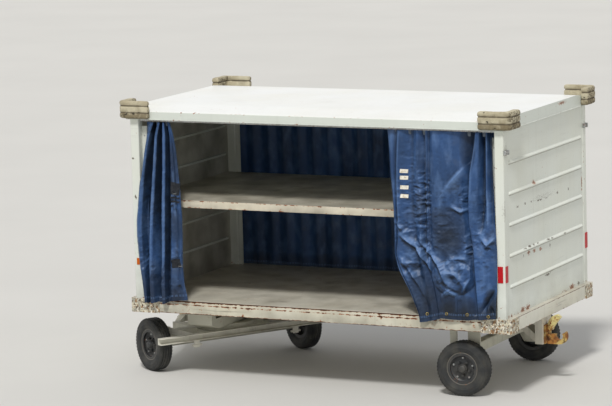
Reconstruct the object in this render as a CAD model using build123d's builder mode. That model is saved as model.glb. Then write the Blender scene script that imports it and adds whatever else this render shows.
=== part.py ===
from build123d import *
import os
from math import cos, radians, sin

# A covered airport baggage cart: a four-wheeled trailer with a steered front axle, a raised drawbar,
# a pintle hook at the rear, a two-level load space and curtains on both long sides.
# Millimetres. +X points to the rear end with the pintle hook, -Y to the side that stands open, +Z up.
# The origin is on the ground, below the middle of the whole cart's box.

os.makedirs("parts", exist_ok=True)

middle = 69.0  # where the body's own middle stands along X, as the drawbar reaches further than the hook

# Frame under the load space
frame_length = 3122.0  # over the end rails
frame_width = 1664.0  # over the side rails
rail_bottom = 508.0
rail_depth = 100.0
rail_flange = 45.0
rail_wall = 6.0
channel_edge = 3.0  # radius of a channel's outer edges
deck_sheet = 4.0
stringer_depth = 50.0
stringer_flange = 40.0
stringer_wall = 5.0
stringer_y = 300.0
member_flange = 42.0
member_wall = 4.0
guard_plate = 6.0
guard_leg_x = 240.0
guard_leg_y = 150.0
guard_drop = 5.0  # how far a guard hangs below the rails
guard_bend = 8.0

# Body on the frame
body_inset = 35.0  # from the end rails' faces to the corner posts'
post_side = 71.0
post_wall = 4.0
post_round = 8.0
batten_width = 42.0  # flat bars beside the door posts, where the curtains' fixed edges are clamped
batten_thick = 5.0
batten_inset = 57.0  # their outer faces, in from the posts' side faces
batten_drop = 62.0  # from the roof frame to their tops
panel_inset = 4.0  # from the posts' end faces in to the end panels
header_bottom = 1995.0
header_side = 40.0
end_sheet = 3.0
rib_pitch = 228.0
rib_count = 5
first_rib_z = 835.0
rib_length = 1484.0
rib_width = 34.0
rib_height = 13.0
rib_taper = 47.0  # degrees off square
shelf_top = 1370.0
shelf_lip = 55.0
shelf_sheet = 3.0
shelf_gap = 12.0  # from a shelf's lip to the posts' inner faces
hat_count = 3  # stiffeners across the shelf's underside
hat_width = 60.0
hat_depth = 22.0
hat_short = 20.0  # from a stiffener's open end to the lip

# Roof pan
roof_reach_x = 19.0  # how far the pan stands out past the posts' end faces
roof_reach_y = 12.0  # and past their side faces
roof_edge_z = 2055.0
roof_rise = 30.0  # from the edge to the crown
roof_bend = 9.0
roof_flat = 1200.0  # width of the flat between the two slopes
roof_sheet = 3.0
lip_width = 15.0
lip_sheet = 4.0
lip_out = 5.0
bow_width = 40.0
bow_count = 5
track_side = 20.0
track_wall = 2.0
track_inset = 32.0  # a track's middle from the posts' side faces
bumper_reach_x = 60.0  # how far a bumper stands out past the roof's end
bumper_reach_y = 35.0  # and past its side
bumper_leg_x = 260.0
bumper_leg_y = 200.0
bumper_bottom = 1998.0
bumper_top = 2135.0
bumper_corner = 50.0
bumper_round = 18.0
groove_rises = (46.0, 92.0)  # grooves round the outer faces, above a bumper's foot
groove_high = 9.0
groove_deep = 6.0
notch_radius = 13.0  # half-round notches that clear the bolts
notch_deep = 9.0
notch_places = (75.0, 195.0)  # from the corner, along the long leg

# Curtains, as plain solids that lean out past the deck
curtain_thick = 30.0
gather_thick = 60.0  # where the near front curtain's deep folds stand
curtain_top_gap = 1.0  # under the track
curtain_top_inset = 23.0  # mid-plane at the top, in from the posts' side faces
curtain_low_reach = 24.0  # and out past them at the deck
curtain_post_gap = 15.0
curtain_meeting = 4.0  # from the body's middle to each far curtain
gather_width = (265.0, 300.0, 350.0)  # at the top, half way and at the foot
gather_short = 6.0  # from its foot to the deck
drawn_width = 815.0  # of the near rear curtain, at the top
drawn_edge = (
    # width, height above the deck, down its free edge
    (790.0, 762.0),
    (745.0, 362.0),
    (655.0, 182.0),
    (575.0, -10.0),
    (525.0, -34.0),
)
closed_hem = 22.0

# Reflectors on the posts
reflector_thick = 4.0
amber_size = (30.0, 50.0)
amber_inset = 21.0
amber_bottom = 872.0
red_size = (40.0, 120.0)
red_inset = 18.0
red_end_width = 45.0
red_end_inset = 3.0
red_bottom = 880.0

# Wheels, 4.00-8 on steel discs
tyre_radius = 205.0
hub_z = 205.0
section_half = 56.0
tread_half = 48.0
shoulder_radius = 197.0
bead_radius = 101.6
bead_half = 38.0
rim_flange_radius = 122.0
rim_flange = 4.0
rim_barrel = 4.0
spindle_radius = 19.0
running_gap = 0.05
hub_in = 45.0  # the hub's inner face, from the wheel's middle plane
hub_radius = 36.0
disc_face = 16.0  # the disc's outer face, from the wheel's middle plane
disc_wall = 6.0
disc_flat = 87.0  # radius of the flat that carries the nuts
disc_dish = 8.0  # how far the disc turns out to meet the barrel
cap_gap = 2.0  # past the spindle's end
cap_step = 8.0
cap_top = 42.0
cap_flat = 12.0
cap_curve = 24.0
spindle_end = 18.0

# Rear axle
rear_overhang = 432.0  # from the axle to the end rail's face
rear_track = 695.0  # half
axle_side = 60.0
stub_flange = 42.0  # radius of a stub axle's flange
stub_plate = 12.0
hanger_y = 603.0  # inner face of the hanger plates
hanger_plate = 12.0
hanger_front = 144.0  # the plate's reach ahead of the axle
hanger_rear = 96.0
hanger_waist = 125.0  # above the axle
hanger_foot = 45.0  # below the axle, and half the foot's width
hanger_slot = (-88.0, -1.0)  # from the axle
hanger_slot_rise = 145.0
hanger_round = 22.0
hanger_fit = 0.1
shoulder_radius_axle = 30.0
shoulder_gap = 1.0  # from a shoulder to the hub
cross_tube_side = 76.0
cross_tube_wall = 5.0
cross_tube_round = 8.0
cross_tube_back = 47.0  # behind the axle
cross_tube_rise = 138.0  # above it

# Turntable and steered frame
turntable_setback = 402.5  # from the front end rail's face
steer_rest = -32.08  # degrees about +Z, as it is parked
front_track = 684.0  # half
bolster_half_x = 105.0
bolster_half_y = 500.0
bolster_bottom = 318.0
bolster_top = 400.0
bolster_leg = 70.0
bolster_wall = 8.0
bolster_taper = 130.0  # length of the sloped underside at each end
bolster_lift = 42.0
race_outer = 205.0
race_inner = 140.0
race_thick = 11.7
race_gap = 0.3
kingpin_radius = 25.0
kingpin_boss = 20.0
kingpin_short = 2.0
beam_half_x = 50.0
beam_half_y = 560.0
beam_wall = 6.0
front_axle_half = 600.0
arm_side = 50.0
arm_y = 300.0
arm_bottom = 238.0
tongue_root_x = -330.0
hinge_x = -720.0  # drawbar hinge, ahead of the turntable
hinge_z = 220.0
hinge_pin_radius = 12.0
ear_plate = 12.0
ear_gap = 1.0
ear_radius = 26.0
tongue_side = 50.0
tongue_nose_half = 62.0
tongue_nose_setback = 35.0
tongue_drop = 7.0  # the tongue's underside below the hinge
tongue_root_bar = 85.0  # across the frame, where the tongue's sides meet the arms
tongue_nose_bar = 30.0
brake_gap = 6.0
brake_side = 50.0
brake_wall = 5.0
brake_half = 770.0
end_plate = 12.0  # on the axle beam's ends
end_plate_top = 330.0
strut_x = 40.0  # where a strut leaves its end plate
strut_root_z = 302.0
strut_y = 450.0  # where it meets the brake bar
strut_plate = 12.0
strut_depth = 46.0
foot_width = 48.0
foot_plate = 10.0
foot_bottom = 188.0
foot_pin_radius = 9.0
foot_pin_half = 42.0
foot_pin_rise = 17.0  # above the foot's end

# Drawbar
bar_lean = 3.0  # degrees past upright, against its stop
bar_side = 50.0
bar_edge = 6.0
boss_radius = 27.0
boss_half = 34.0
eye_distance = 1190.0
eye_radius = 65.0
eye_bore = 30.0
eye_thick = 36.0
eye_round = 12.0
shank_length = 60.0
shank_half = 20.0
shank_overlap = 10.0

# Hitch at the rear
hitch_inset = 51.0  # from the rear end rail's face
hitch_thick = 57.0
hitch_half = 95.0
hitch_bottom = 288.0
hitch_wall = 6.0
hitch_round = 14.0  # radius of its lower corners
brace_half = 60.0
brace_depth = 65.0
brace_drop = 3.0  # below the hitch post's foot
brace_wall = 6.0
brace_slope = 0.81
hook_plate = 12.0
hook_plate_half = 62.0
hook_plate_foot = 2.0
hook_plate_head = 30.0
throat_reach = 105.0  # behind the hitch post's face
throat_z = 345.0
throat_radius = 30.0
hook_radius = 62.0
hook_half = 19.0
hook_tip_angle = 35.0
neck_rise = 12.0
jaw_pin_reach = 35.0
jaw_pin_z = 402.0
jaw_pin_radius = 8.0
jaw_length = 118.0
jaw_boss = 18.0  # radius round the pin
jaw_half = 19.0
jaw_under = 13.0  # from the pin to the straight underside
jaw_tip = 32.0  # height of the blunt tip
jaw_crown = 46.0  # from the pin to the back's highest point
jaw_crown_x = 58.0
jaw_gap = 1.0
jaw_raise = 52.0
jaw_ear = 10.0
jaw_ear_radius = 20.0

# Cross members, from the body's middle, the turntable and the rear axle
member_front = 161.0  # from the front end rail's face
member_turntable = 57.0  # each side of the kingpin
member_before_axle = 131.0
member_behind_axle = 32.0
member_bays = 4  # between the turntable's and the axle's members

roof_crown_z = roof_edge_z + roof_rise
rail_top = rail_bottom + rail_depth
deck_top = rail_top + deck_sheet
rail_mid = rail_bottom + rail_depth / 2
frame_end = frame_length / 2
frame_side = frame_width / 2
body_side = frame_side + guard_plate
body_length = frame_length - 2 * body_inset
post_x = body_length / 2
roof_length = body_length + 2 * roof_reach_x
roof_width = 2 * (body_side + roof_reach_y)
track_y = body_side - track_inset
rear_axle_x = middle + frame_end - rear_overhang
turntable_x = middle - frame_end + turntable_setback
beam_bottom = hub_z + axle_side / 2
tongue_nose_x = hinge_x + tongue_nose_setback
hitch_face = middle + frame_end - hitch_inset
throat_x = hitch_face + throat_reach
jaw_pin_x = hitch_face + jaw_pin_reach
member_bottom = rail_bottom + stringer_depth
brace_foot_z = hitch_bottom - brace_drop
steer = Plane(
    origin=(turntable_x, 0, 0),
    x_dir=(cos(radians(steer_rest)), sin(radians(steer_rest)), 0),
    z_dir=(0, 0, 1),
)


def steered(plane):
    """The same plane, carried round with the turntable."""
    return Plane(steer.location * plane.location)


def block(x, y, z, mode=Mode.ADD):
    """A bar or plate between its low and high limits, in the open part's own plane."""
    with Locations(((x[0] + x[1]) / 2, (y[0] + y[1]) / 2, (z[0] + z[1]) / 2)):
        Box(x[1] - x[0], y[1] - y[0], z[1] - z[0], mode=mode)


def channel_section(start, along, open_to, depth, flange, wall):
    """A channel's section: its web through start, its flanges reaching towards open_to."""
    with BuildSketch(Plane(origin=start, x_dir=open_to, z_dir=along)) as section:
        Rectangle(flange, depth, align=(Align.MIN, Align.CENTER))
        fillet(section.vertices().group_by(Axis.X)[0], channel_edge)
        with Locations((wall, 0)):
            Rectangle(flange, depth - 2 * wall, align=(Align.MIN, Align.CENTER), mode=Mode.SUBTRACT)
    return section.sketch


def on_four_corners():
    """Repeats what the open part holds at its near rear corner on the other three."""
    mirror(about=Plane.XZ)
    mirror(about=Plane(origin=(middle, 0, 0), x_dir=(0, 1, 0), z_dir=(1, 0, 0)))


# Side rails: channels with their webs outside, butted between the end rails' flanges
side_rail_half = frame_end - rail_flange
for name, side in (("side_rail_near", -1), ("side_rail_far", 1)):
    with BuildPart() as side_rail:
        start = (middle - side_rail_half, side * frame_side, rail_mid)
        extrude(
            channel_section(start, (1, 0, 0), (0, -side, 0), rail_depth, rail_flange, rail_wall),
            amount=2 * side_rail_half,
        )
    side_rail.part.label = name
    export_step(side_rail.part, f"parts/{name}.step")

# End rails: the same channel, over the whole width
for name, end in (("end_rail_front", -1), ("end_rail_rear", 1)):
    with BuildPart() as end_rail:
        start = (middle + end * frame_end, -frame_side, rail_mid)
        extrude(
            channel_section(start, (0, 1, 0), (-end, 0, 0), rail_depth, rail_flange, rail_wall),
            amount=frame_width,
        )
    end_rail.part.label = name
    export_step(end_rail.part, f"parts/{name}.step")

# Guards: plates bent round the frame's four corners
with BuildPart() as corner_guards:
    corner = (middle + frame_end + guard_plate, -body_side)
    inner = (middle + frame_end, -frame_side)
    tip_x = corner[0] - guard_leg_x
    tip_y = corner[1] + guard_leg_y
    with BuildSketch(Plane.XY.offset(rail_bottom - guard_drop)) as guard:
        Polygon(
            corner,
            (tip_x, corner[1]),
            (tip_x, inner[1]),
            inner,
            (inner[0], tip_y),
            (corner[0], tip_y),
            align=None,
        )
        fillet(guard.vertices().sort_by_distance(corner)[0], guard_bend)
    extrude(amount=deck_top - rail_bottom + guard_drop)
    on_four_corners()
corner_guards.part.label = "corner_guards"
export_step(corner_guards.part, "parts/corner_guards.step")

# Deck sheet on the rails
with BuildPart() as deck:
    block(
        (middle - frame_end, middle + frame_end),
        (-frame_side, frame_side),
        (rail_top, deck_top),
    )
deck.part.label = "deck"
export_step(deck.part, "parts/deck.step")

# Cross members: channels between the side rails, notched round the rails' top flanges
front_last = turntable_x + member_turntable
rear_first = rear_axle_x - member_before_axle
bay = (rear_first - front_last) / member_bays
member_places = [middle - frame_end + member_front, turntable_x - member_turntable]
member_places += [front_last + place * bay for place in range(member_bays + 1)]
member_places += [rear_axle_x + member_behind_axle]
with BuildPart() as cross_members:
    for place in member_places:
        start = (place, -frame_side + rail_wall, (member_bottom + rail_top) / 2)
        extrude(
            channel_section(
                start, (0, 1, 0), (1, 0, 0), rail_top - member_bottom, member_flange, member_wall
            ),
            amount=frame_width - 2 * rail_wall,
        )
    for side in (-1, 1):
        edge = sorted((side * frame_side, side * (frame_side - rail_flange)))
        block(
            (middle - frame_end, middle + frame_end),
            edge,
            (rail_top - rail_wall, rail_top),
            mode=Mode.SUBTRACT,
        )
cross_members.part.label = "cross_members"
export_step(cross_members.part, "parts/cross_members.step")

# Stringers: two channels along the frame, under the cross members
with BuildPart() as stringers:
    for side in (-1, 1):
        start = (middle - side_rail_half, side * stringer_y, rail_bottom + stringer_depth / 2)
        extrude(
            channel_section(
                start, (1, 0, 0), (0, -side, 0), stringer_depth, stringer_flange, stringer_wall
            ),
            amount=2 * side_rail_half,
        )
stringers.part.label = "stringers"
export_step(stringers.part, "parts/stringers.step")

# Corner posts: square tubes from the deck to the roof frame, each with its curtain batten
post_table = (
    # name, end, side
    ("post_front_near", -1, -1),
    ("post_front_far", -1, 1),
    ("post_rear_near", 1, -1),
    ("post_rear_far", 1, 1),
)
for name, end, side in post_table:
    with BuildPart() as post:
        with BuildSketch(Plane.XY.offset(deck_top)):
            with Locations(
                (middle + end * (post_x - post_side / 2), side * (body_side - post_side / 2))
            ):
                RectangleRounded(post_side, post_side, post_round)
                inner = post_side - 2 * post_wall
                RectangleRounded(inner, inner, post_round - post_wall, mode=Mode.SUBTRACT)
        extrude(amount=header_bottom - deck_top)
        root = post_x - post_side
        face = body_side - batten_inset
        block(
            sorted((middle + end * root, middle + end * (root - batten_width))),
            sorted((side * face, side * (face - batten_thick))),
            (deck_top, header_bottom - batten_drop),
        )
    post.part.label = name
    export_step(post.part, f"parts/{name}.step")

# End panels: sheets pressed with five long ribs that stand outwards
panel_half = body_side - post_side
for name, end in (("end_panel_front", -1), ("end_panel_rear", 1)):
    with BuildPart() as end_panel:
        outer = middle + end * (post_x - panel_inset)
        sheet = sorted((outer, outer - end * end_sheet))
        block(sheet, (-panel_half, panel_half), (deck_top, header_bottom))
        for rib in range(rib_count):
            rib_z = first_rib_z + rib * rib_pitch
            rib_plane = Plane(origin=(outer, 0, rib_z), x_dir=(0, 1, 0), z_dir=(end, 0, 0))
            with BuildSketch(rib_plane):
                SlotOverall(rib_length, rib_width)
            extrude(amount=rib_height, taper=rib_taper)
            with BuildSketch(rib_plane.offset(-end_sheet)):
                SlotOverall(rib_length - 2 * end_sheet, rib_width - 2 * end_sheet)
            extrude(amount=rib_height, taper=rib_taper, mode=Mode.SUBTRACT)
    end_panel.part.label = name
    export_step(end_panel.part, f"parts/{name}.step")

# Shelf: a tray with its lips turned down, on stiffeners, between the two end panels
shelf_half_x = post_x - panel_inset - end_sheet
shelf_half_y = panel_half - shelf_gap
with BuildPart() as shelf:
    block(
        (middle - shelf_half_x, middle + shelf_half_x),
        (-shelf_half_y, shelf_half_y),
        (shelf_top - shelf_lip, shelf_top),
    )
    block(
        (middle - shelf_half_x + shelf_sheet, middle + shelf_half_x - shelf_sheet),
        (-shelf_half_y + shelf_sheet, shelf_half_y - shelf_sheet),
        (shelf_top - shelf_lip, shelf_top - shelf_sheet),
        mode=Mode.SUBTRACT,
    )
    hat_top = shelf_top - shelf_sheet
    hat_half = shelf_half_y - hat_short
    for place in range(hat_count):
        hat_x = middle + ((place + 1) / (hat_count + 1) - 0.5) * 2 * shelf_half_x
        hat = (hat_x - hat_width / 2, hat_x + hat_width / 2)
        block(hat, (-hat_half, hat_half), (hat_top - hat_depth, hat_top))
        block(
            (hat[0] + shelf_sheet, hat[1] - shelf_sheet),
            (-hat_half, hat_half),
            (hat_top - hat_depth + shelf_sheet, hat_top),
            mode=Mode.SUBTRACT,
        )
shelf.part.label = "shelf"
export_step(shelf.part, "parts/shelf.step")

# Roof frame: a ring of square tube on the posts, with bows that follow the roof
roof_slope = (roof_crown_z - roof_edge_z) / (roof_width / 2 - roof_flat / 2)
header_top = header_bottom + header_side
bow_edge_z = roof_edge_z - roof_sheet + roof_slope * (roof_width / 2 - body_side)
with BuildPart() as roof_frame:
    with BuildSketch(Plane.XY.offset(header_bottom)):
        with Locations((middle, 0)):
            Rectangle(body_length, 2 * body_side)
            Rectangle(
                body_length - 2 * header_side,
                2 * (body_side - header_side),
                mode=Mode.SUBTRACT,
            )
    extrude(amount=header_side)
    for bow in range(bow_count):
        bow_x = middle - post_x + bow * (body_length - bow_width) / (bow_count - 1)
        with BuildSketch(Plane(origin=(bow_x, 0, 0), x_dir=(0, 1, 0), z_dir=(1, 0, 0))):
            Polygon(
                (-body_side, header_top),
                (-body_side, bow_edge_z),
                (-roof_flat / 2, roof_crown_z - roof_sheet),
                (roof_flat / 2, roof_crown_z - roof_sheet),
                (body_side, bow_edge_z),
                (body_side, header_top),
                align=None,
            )
        extrude(amount=bow_width)
roof_frame.part.label = "roof_frame"
export_step(roof_frame.part, "parts/roof_frame.step")

# Roof: one pan with a flat crown, two slopes, square fascias and a lip round its foot
with BuildPart() as roof:
    for drop, mode in ((0, Mode.ADD), (roof_sheet, Mode.SUBTRACT)):
        half_x = roof_length / 2 - drop
        half_y = roof_width / 2 - drop
        edge_z = roof_edge_z - drop + roof_slope * (roof_width / 2 - half_y)
        end_plane = Plane(origin=(middle - half_x, 0, 0), x_dir=(0, 1, 0), z_dir=(1, 0, 0))
        with BuildSketch(end_plane) as pan:
            Polygon(
                (-half_y, header_bottom),
                (-half_y, edge_z),
                (-roof_flat / 2, roof_crown_z - drop),
                (roof_flat / 2, roof_crown_z - drop),
                (half_y, edge_z),
                (half_y, header_bottom),
                align=None,
            )
            fillet(pan.vertices().group_by(Axis.Y)[1], roof_bend - drop)
        extrude(amount=2 * half_x, mode=mode)
    with BuildSketch(Plane.XY.offset(header_bottom - lip_sheet)):
        with Locations((middle, 0)):
            Rectangle(roof_length + 2 * lip_out, roof_width + 2 * lip_out)
            Rectangle(
                roof_length + 2 * lip_out - 2 * lip_width,
                roof_width + 2 * lip_out - 2 * lip_width,
                mode=Mode.SUBTRACT,
            )
    extrude(amount=lip_sheet)
roof.part.label = "roof"
export_step(roof.part, "parts/roof.step")

# Curtain tracks: small channels open downwards, under the roof frame's long sides
with BuildPart() as curtain_tracks:
    for side in (-1, 1):
        start = (middle - post_x + post_side, side * track_y, header_bottom)
        extrude(
            channel_section(start, (1, 0, 0), (0, 0, -1), track_side, track_side, track_wall),
            amount=body_length - 2 * post_side,
        )
curtain_tracks.part.label = "curtain_tracks"
export_step(curtain_tracks.part, "parts/curtain_tracks.step")

# Roof bumpers: grooved rubber angles on the roof's four corners, notched round their bolts
with BuildPart() as roof_bumpers:
    corner = (middle + roof_length / 2 + bumper_reach_x, -roof_width / 2 - bumper_reach_y)
    inner = (middle + roof_length / 2, -roof_width / 2)
    tip_x = corner[0] - bumper_leg_x
    tip_y = corner[1] + bumper_leg_y
    outline = (
        corner,
        (tip_x, corner[1]),
        (tip_x, inner[1]),
        inner,
        (inner[0], tip_y),
        (corner[0], tip_y),
    )
    with BuildSketch(Plane.XY.offset(bumper_bottom)) as angle:
        Polygon(*outline, align=None)
        fillet(angle.vertices().sort_by_distance(corner)[0], bumper_corner)
    extrude(amount=bumper_top - bumper_bottom)
    fillet(
        roof_bumpers.edges().filter_by(
            lambda edge: edge.center().X > inner[0] + 1 or edge.center().Y < inner[1] - 1
        ).filter_by(Axis.Z, reverse=True),
        bumper_round,
    )
    for rise in groove_rises:
        with BuildSketch(Plane.XY.offset(bumper_bottom + rise)) as groove:
            Polygon(*outline, align=None)
            fillet(groove.vertices().sort_by_distance(corner)[0], bumper_corner)
            offset(amount=-groove_deep, mode=Mode.SUBTRACT)
        extrude(amount=groove_high, mode=Mode.SUBTRACT)
    for place in notch_places:
        with Locations((corner[0] - place, corner[1], bumper_bottom)):
            Cylinder(notch_radius, 2 * notch_deep, rotation=(90, 0, 0), mode=Mode.SUBTRACT)
    on_four_corners()
roof_bumpers.part.label = "roof_bumpers"
export_step(roof_bumpers.part, "parts/roof_bumpers.step")

# Curtains: each a plain solid with its outline drawn on a plane that leans out past the deck
curtain_top_z = header_bottom - track_side - curtain_top_gap
curtain_top_y = body_side - curtain_top_inset
curtain_low_y = body_side + curtain_low_reach
curtain_end = post_x - post_side - curtain_post_gap
curtain_drop = curtain_top_z - deck_top
lean = (curtain_low_y - curtain_top_y) / curtain_drop
stretch = (1 + lean**2) ** 0.5
gathered_outline = (
    (0, 0),
    (gather_width[0], 0),
    (gather_width[1], curtain_drop / 2),
    (gather_width[2], curtain_drop - gather_short),
    (0, curtain_drop - gather_short),
)
drawn_outline = (
    (drawn_width, 0),
    *((width, curtain_drop - rise) for width, rise in drawn_edge),
    (0, curtain_drop - drawn_edge[-1][1]),
    (0, 0),
)
closed_width = curtain_end - curtain_meeting
closed_outline = (
    (0, 0),
    (closed_width, 0),
    (closed_width, curtain_drop + closed_hem),
    (0, curtain_drop + closed_hem),
)
curtain_table = (
    # name, end, side, thickness, outline as the distance from the post's gap and the drop below the top
    ("curtain_near_front", -1, -1, gather_thick, gathered_outline),
    ("curtain_near_rear", 1, -1, curtain_thick, drawn_outline),
    ("curtain_far_front", -1, 1, curtain_thick, closed_outline),
    ("curtain_far_rear", 1, 1, curtain_thick, closed_outline),
)
for name, end, side, thick, outline in curtain_table:
    hang = Plane(
        origin=(middle, side * curtain_top_y, curtain_top_z), x_dir=(1, 0, 0), z_dir=(0, -1, -side * lean)
    )
    with BuildPart() as curtain:
        with BuildSketch(hang):
            Polygon(*[(end * (curtain_end - x), -drop * stretch) for x, drop in outline], align=None)
        extrude(amount=thick / 2, both=True)
    curtain.part.label = name
    export_step(curtain.part, f"parts/{name}.step")

# Reflectors: amber on the front posts' sides, red on the rear posts' sides and end faces
amber_x = middle - post_x + amber_inset
red_x = middle + post_x - red_inset
side_face = (body_side, body_side + reflector_thick)
reflector_table = (
    # node, low and high x, low and high y on the far side, low z, height
    ("amber_reflectors", (amber_x, amber_x + amber_size[0]), side_face, amber_bottom, amber_size[1]),
    ("red_reflectors", (red_x - red_size[0], red_x), side_face, red_bottom, red_size[1]),
    (
        "red_reflectors",
        (middle + post_x, middle + post_x + reflector_thick),
        (body_side - red_end_inset - red_end_width, body_side - red_end_inset),
        red_bottom,
        red_size[1],
    ),
)
for name in ("amber_reflectors", "red_reflectors"):
    with BuildPart() as reflectors:
        for node, x, y, low, high in reflector_table:
            for side in (-1, 1):
                if node == name:
                    block(x, sorted((side * y[0], side * y[1])), (low, low + high))
    reflectors.part.label = name
    export_step(reflectors.part, f"parts/{name}.step")

# Rear hangers: U-shaped plates that carry the rear axle
with BuildPart() as rear_hangers:
    for side in (-1, 1):
        face_y = side * hanger_y
        hanger_plane = Plane(origin=(rear_axle_x, face_y, hub_z), x_dir=(1, 0, 0), z_dir=(0, -1, 0))
        with BuildSketch(hanger_plane) as plate:
            Polygon(
                (-hanger_front, member_bottom - hub_z),
                (-hanger_front, hanger_waist),
                (-hanger_foot, -hanger_foot),
                (hanger_foot, -hanger_foot),
                (hanger_rear, hanger_waist),
                (hanger_rear, member_bottom - hub_z),
                (hanger_slot[1], member_bottom - hub_z),
                (hanger_slot[1], hanger_slot_rise),
                (hanger_slot[0], hanger_slot_rise),
                (hanger_slot[0], member_bottom - hub_z),
                align=None,
            )
            fillet(plate.vertices().group_by(Axis.Y)[0], hanger_round)
            Circle(shoulder_radius_axle + hanger_fit, mode=Mode.SUBTRACT)
        extrude(amount=-side * hanger_plate)
rear_hangers.part.label = "rear_hangers"
export_step(rear_hangers.part, "parts/rear_hangers.step")

# Rear cross tube between the hangers
with BuildPart() as rear_cross_tube:
    tube_start = (rear_axle_x + cross_tube_back, -hanger_y, hub_z + cross_tube_rise)
    with BuildSketch(Plane(origin=tube_start, x_dir=(1, 0, 0), z_dir=(0, 1, 0))):
        inner = cross_tube_side - 2 * cross_tube_wall
        RectangleRounded(cross_tube_side, cross_tube_side, cross_tube_round)
        RectangleRounded(inner, inner, cross_tube_round - cross_tube_wall, mode=Mode.SUBTRACT)
    extrude(amount=2 * hanger_y)
rear_cross_tube.part.label = "rear_cross_tube"
export_step(rear_cross_tube.part, "parts/rear_cross_tube.step")

# Rear stub axles: a flange inside each hanger, a shoulder through it and the spindle
with BuildPart(Plane((rear_axle_x, 0, 0))) as rear_axle:
    for side in (-1, 1):
        for radius, start, end in (
            (stub_flange, hanger_y - stub_plate, hanger_y),
            (shoulder_radius_axle, hanger_y, rear_track - hub_in - shoulder_gap),
            (spindle_radius, hanger_y, rear_track + spindle_end),
        ):
            with Locations((0, side * (start + end) / 2, hub_z)):
                Cylinder(radius, end - start, rotation=(90, 0, 0))
rear_axle.part.label = "rear_axle"
export_step(rear_axle.part, "parts/rear_axle.step")

# Front axle: a square beam, a round shoulder at each end and the spindles
with BuildPart(steer) as front_axle:
    block(
        (-axle_side / 2, axle_side / 2),
        (-front_axle_half, front_axle_half),
        (hub_z - axle_side / 2, hub_z + axle_side / 2),
    )
    with Locations((0, 0, hub_z)):
        Cylinder(shoulder_radius_axle, 2 * (front_track - hub_in - shoulder_gap), rotation=(90, 0, 0))
        Cylinder(spindle_radius, 2 * (front_track + spindle_end), rotation=(90, 0, 0))
front_axle.part.label = "front_axle"
export_step(front_axle.part, "parts/front_axle.step")

# Wheels: a tyre and a dished steel disc with its hub and cap, revolved about the spindle
wheel_table = (
    # name, carrier, side, half track
    ("front_near", steer, -1, front_track),
    ("front_far", steer, 1, front_track),
    ("rear_near", Plane((rear_axle_x, 0, 0)), -1, rear_track),
    ("rear_far", Plane((rear_axle_x, 0, 0)), 1, rear_track),
)
barrel_in = bead_radius - rim_barrel
flange_out = bead_half + rim_flange
bore = spindle_radius + running_gap
for place, carrier, side, track in wheel_table:
    local = Plane(origin=(0, side * track, hub_z), x_dir=(0, 0, 1), z_dir=(-side, 0, 0))
    wheel = Plane(carrier.location * local.location)
    axis = Axis(wheel.origin, wheel.y_dir)
    with BuildPart() as tyre:
        with BuildSketch(wheel):
            with BuildLine():
                Polyline(
                    (rim_flange_radius, -bead_half),
                    (bead_radius, -bead_half),
                    (bead_radius, bead_half),
                    (rim_flange_radius, bead_half),
                )
                ThreePointArc(
                    (rim_flange_radius, bead_half),
                    ((rim_flange_radius + shoulder_radius) / 2, section_half),
                    (shoulder_radius, tread_half),
                )
                ThreePointArc(
                    (shoulder_radius, tread_half), (tyre_radius, 0), (shoulder_radius, -tread_half)
                )
                ThreePointArc(
                    (shoulder_radius, -tread_half),
                    ((rim_flange_radius + shoulder_radius) / 2, -section_half),
                    (rim_flange_radius, -bead_half),
                )
            make_face()
        revolve(axis=axis)
    tyre.part.label = f"tyre_{place}"
    export_step(tyre.part, f"parts/tyre_{place}.step")

    with BuildPart() as disc:
        with BuildSketch(wheel):
            with BuildLine():
                Polyline(
                    (0, spindle_end + cap_gap),
                    (bore, spindle_end + cap_gap),
                    (bore, -hub_in),
                    (hub_radius, -hub_in),
                    (hub_radius, disc_face - disc_wall),
                    (disc_flat, disc_face - disc_wall),
                    (barrel_in, disc_face - disc_wall + disc_dish),
                    (barrel_in, -flange_out),
                    (rim_flange_radius, -flange_out),
                    (rim_flange_radius, -bead_half),
                    (bead_radius, -bead_half),
                    (bead_radius, bead_half),
                    (rim_flange_radius, bead_half),
                    (rim_flange_radius, flange_out),
                    (barrel_in, flange_out),
                    (barrel_in, disc_face + disc_dish),
                    (disc_flat, disc_face),
                    (hub_radius, disc_face),
                    (hub_radius, disc_face + cap_step),
                )
                RadiusArc((hub_radius, disc_face + cap_step), (cap_flat, cap_top), -cap_curve)
                Polyline((cap_flat, cap_top), (0, cap_top), (0, spindle_end + cap_gap))
            make_face()
        revolve(axis=axis)
    disc.part.label = f"wheel_{place}"
    export_step(disc.part, f"parts/wheel_{place}.step")

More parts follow.
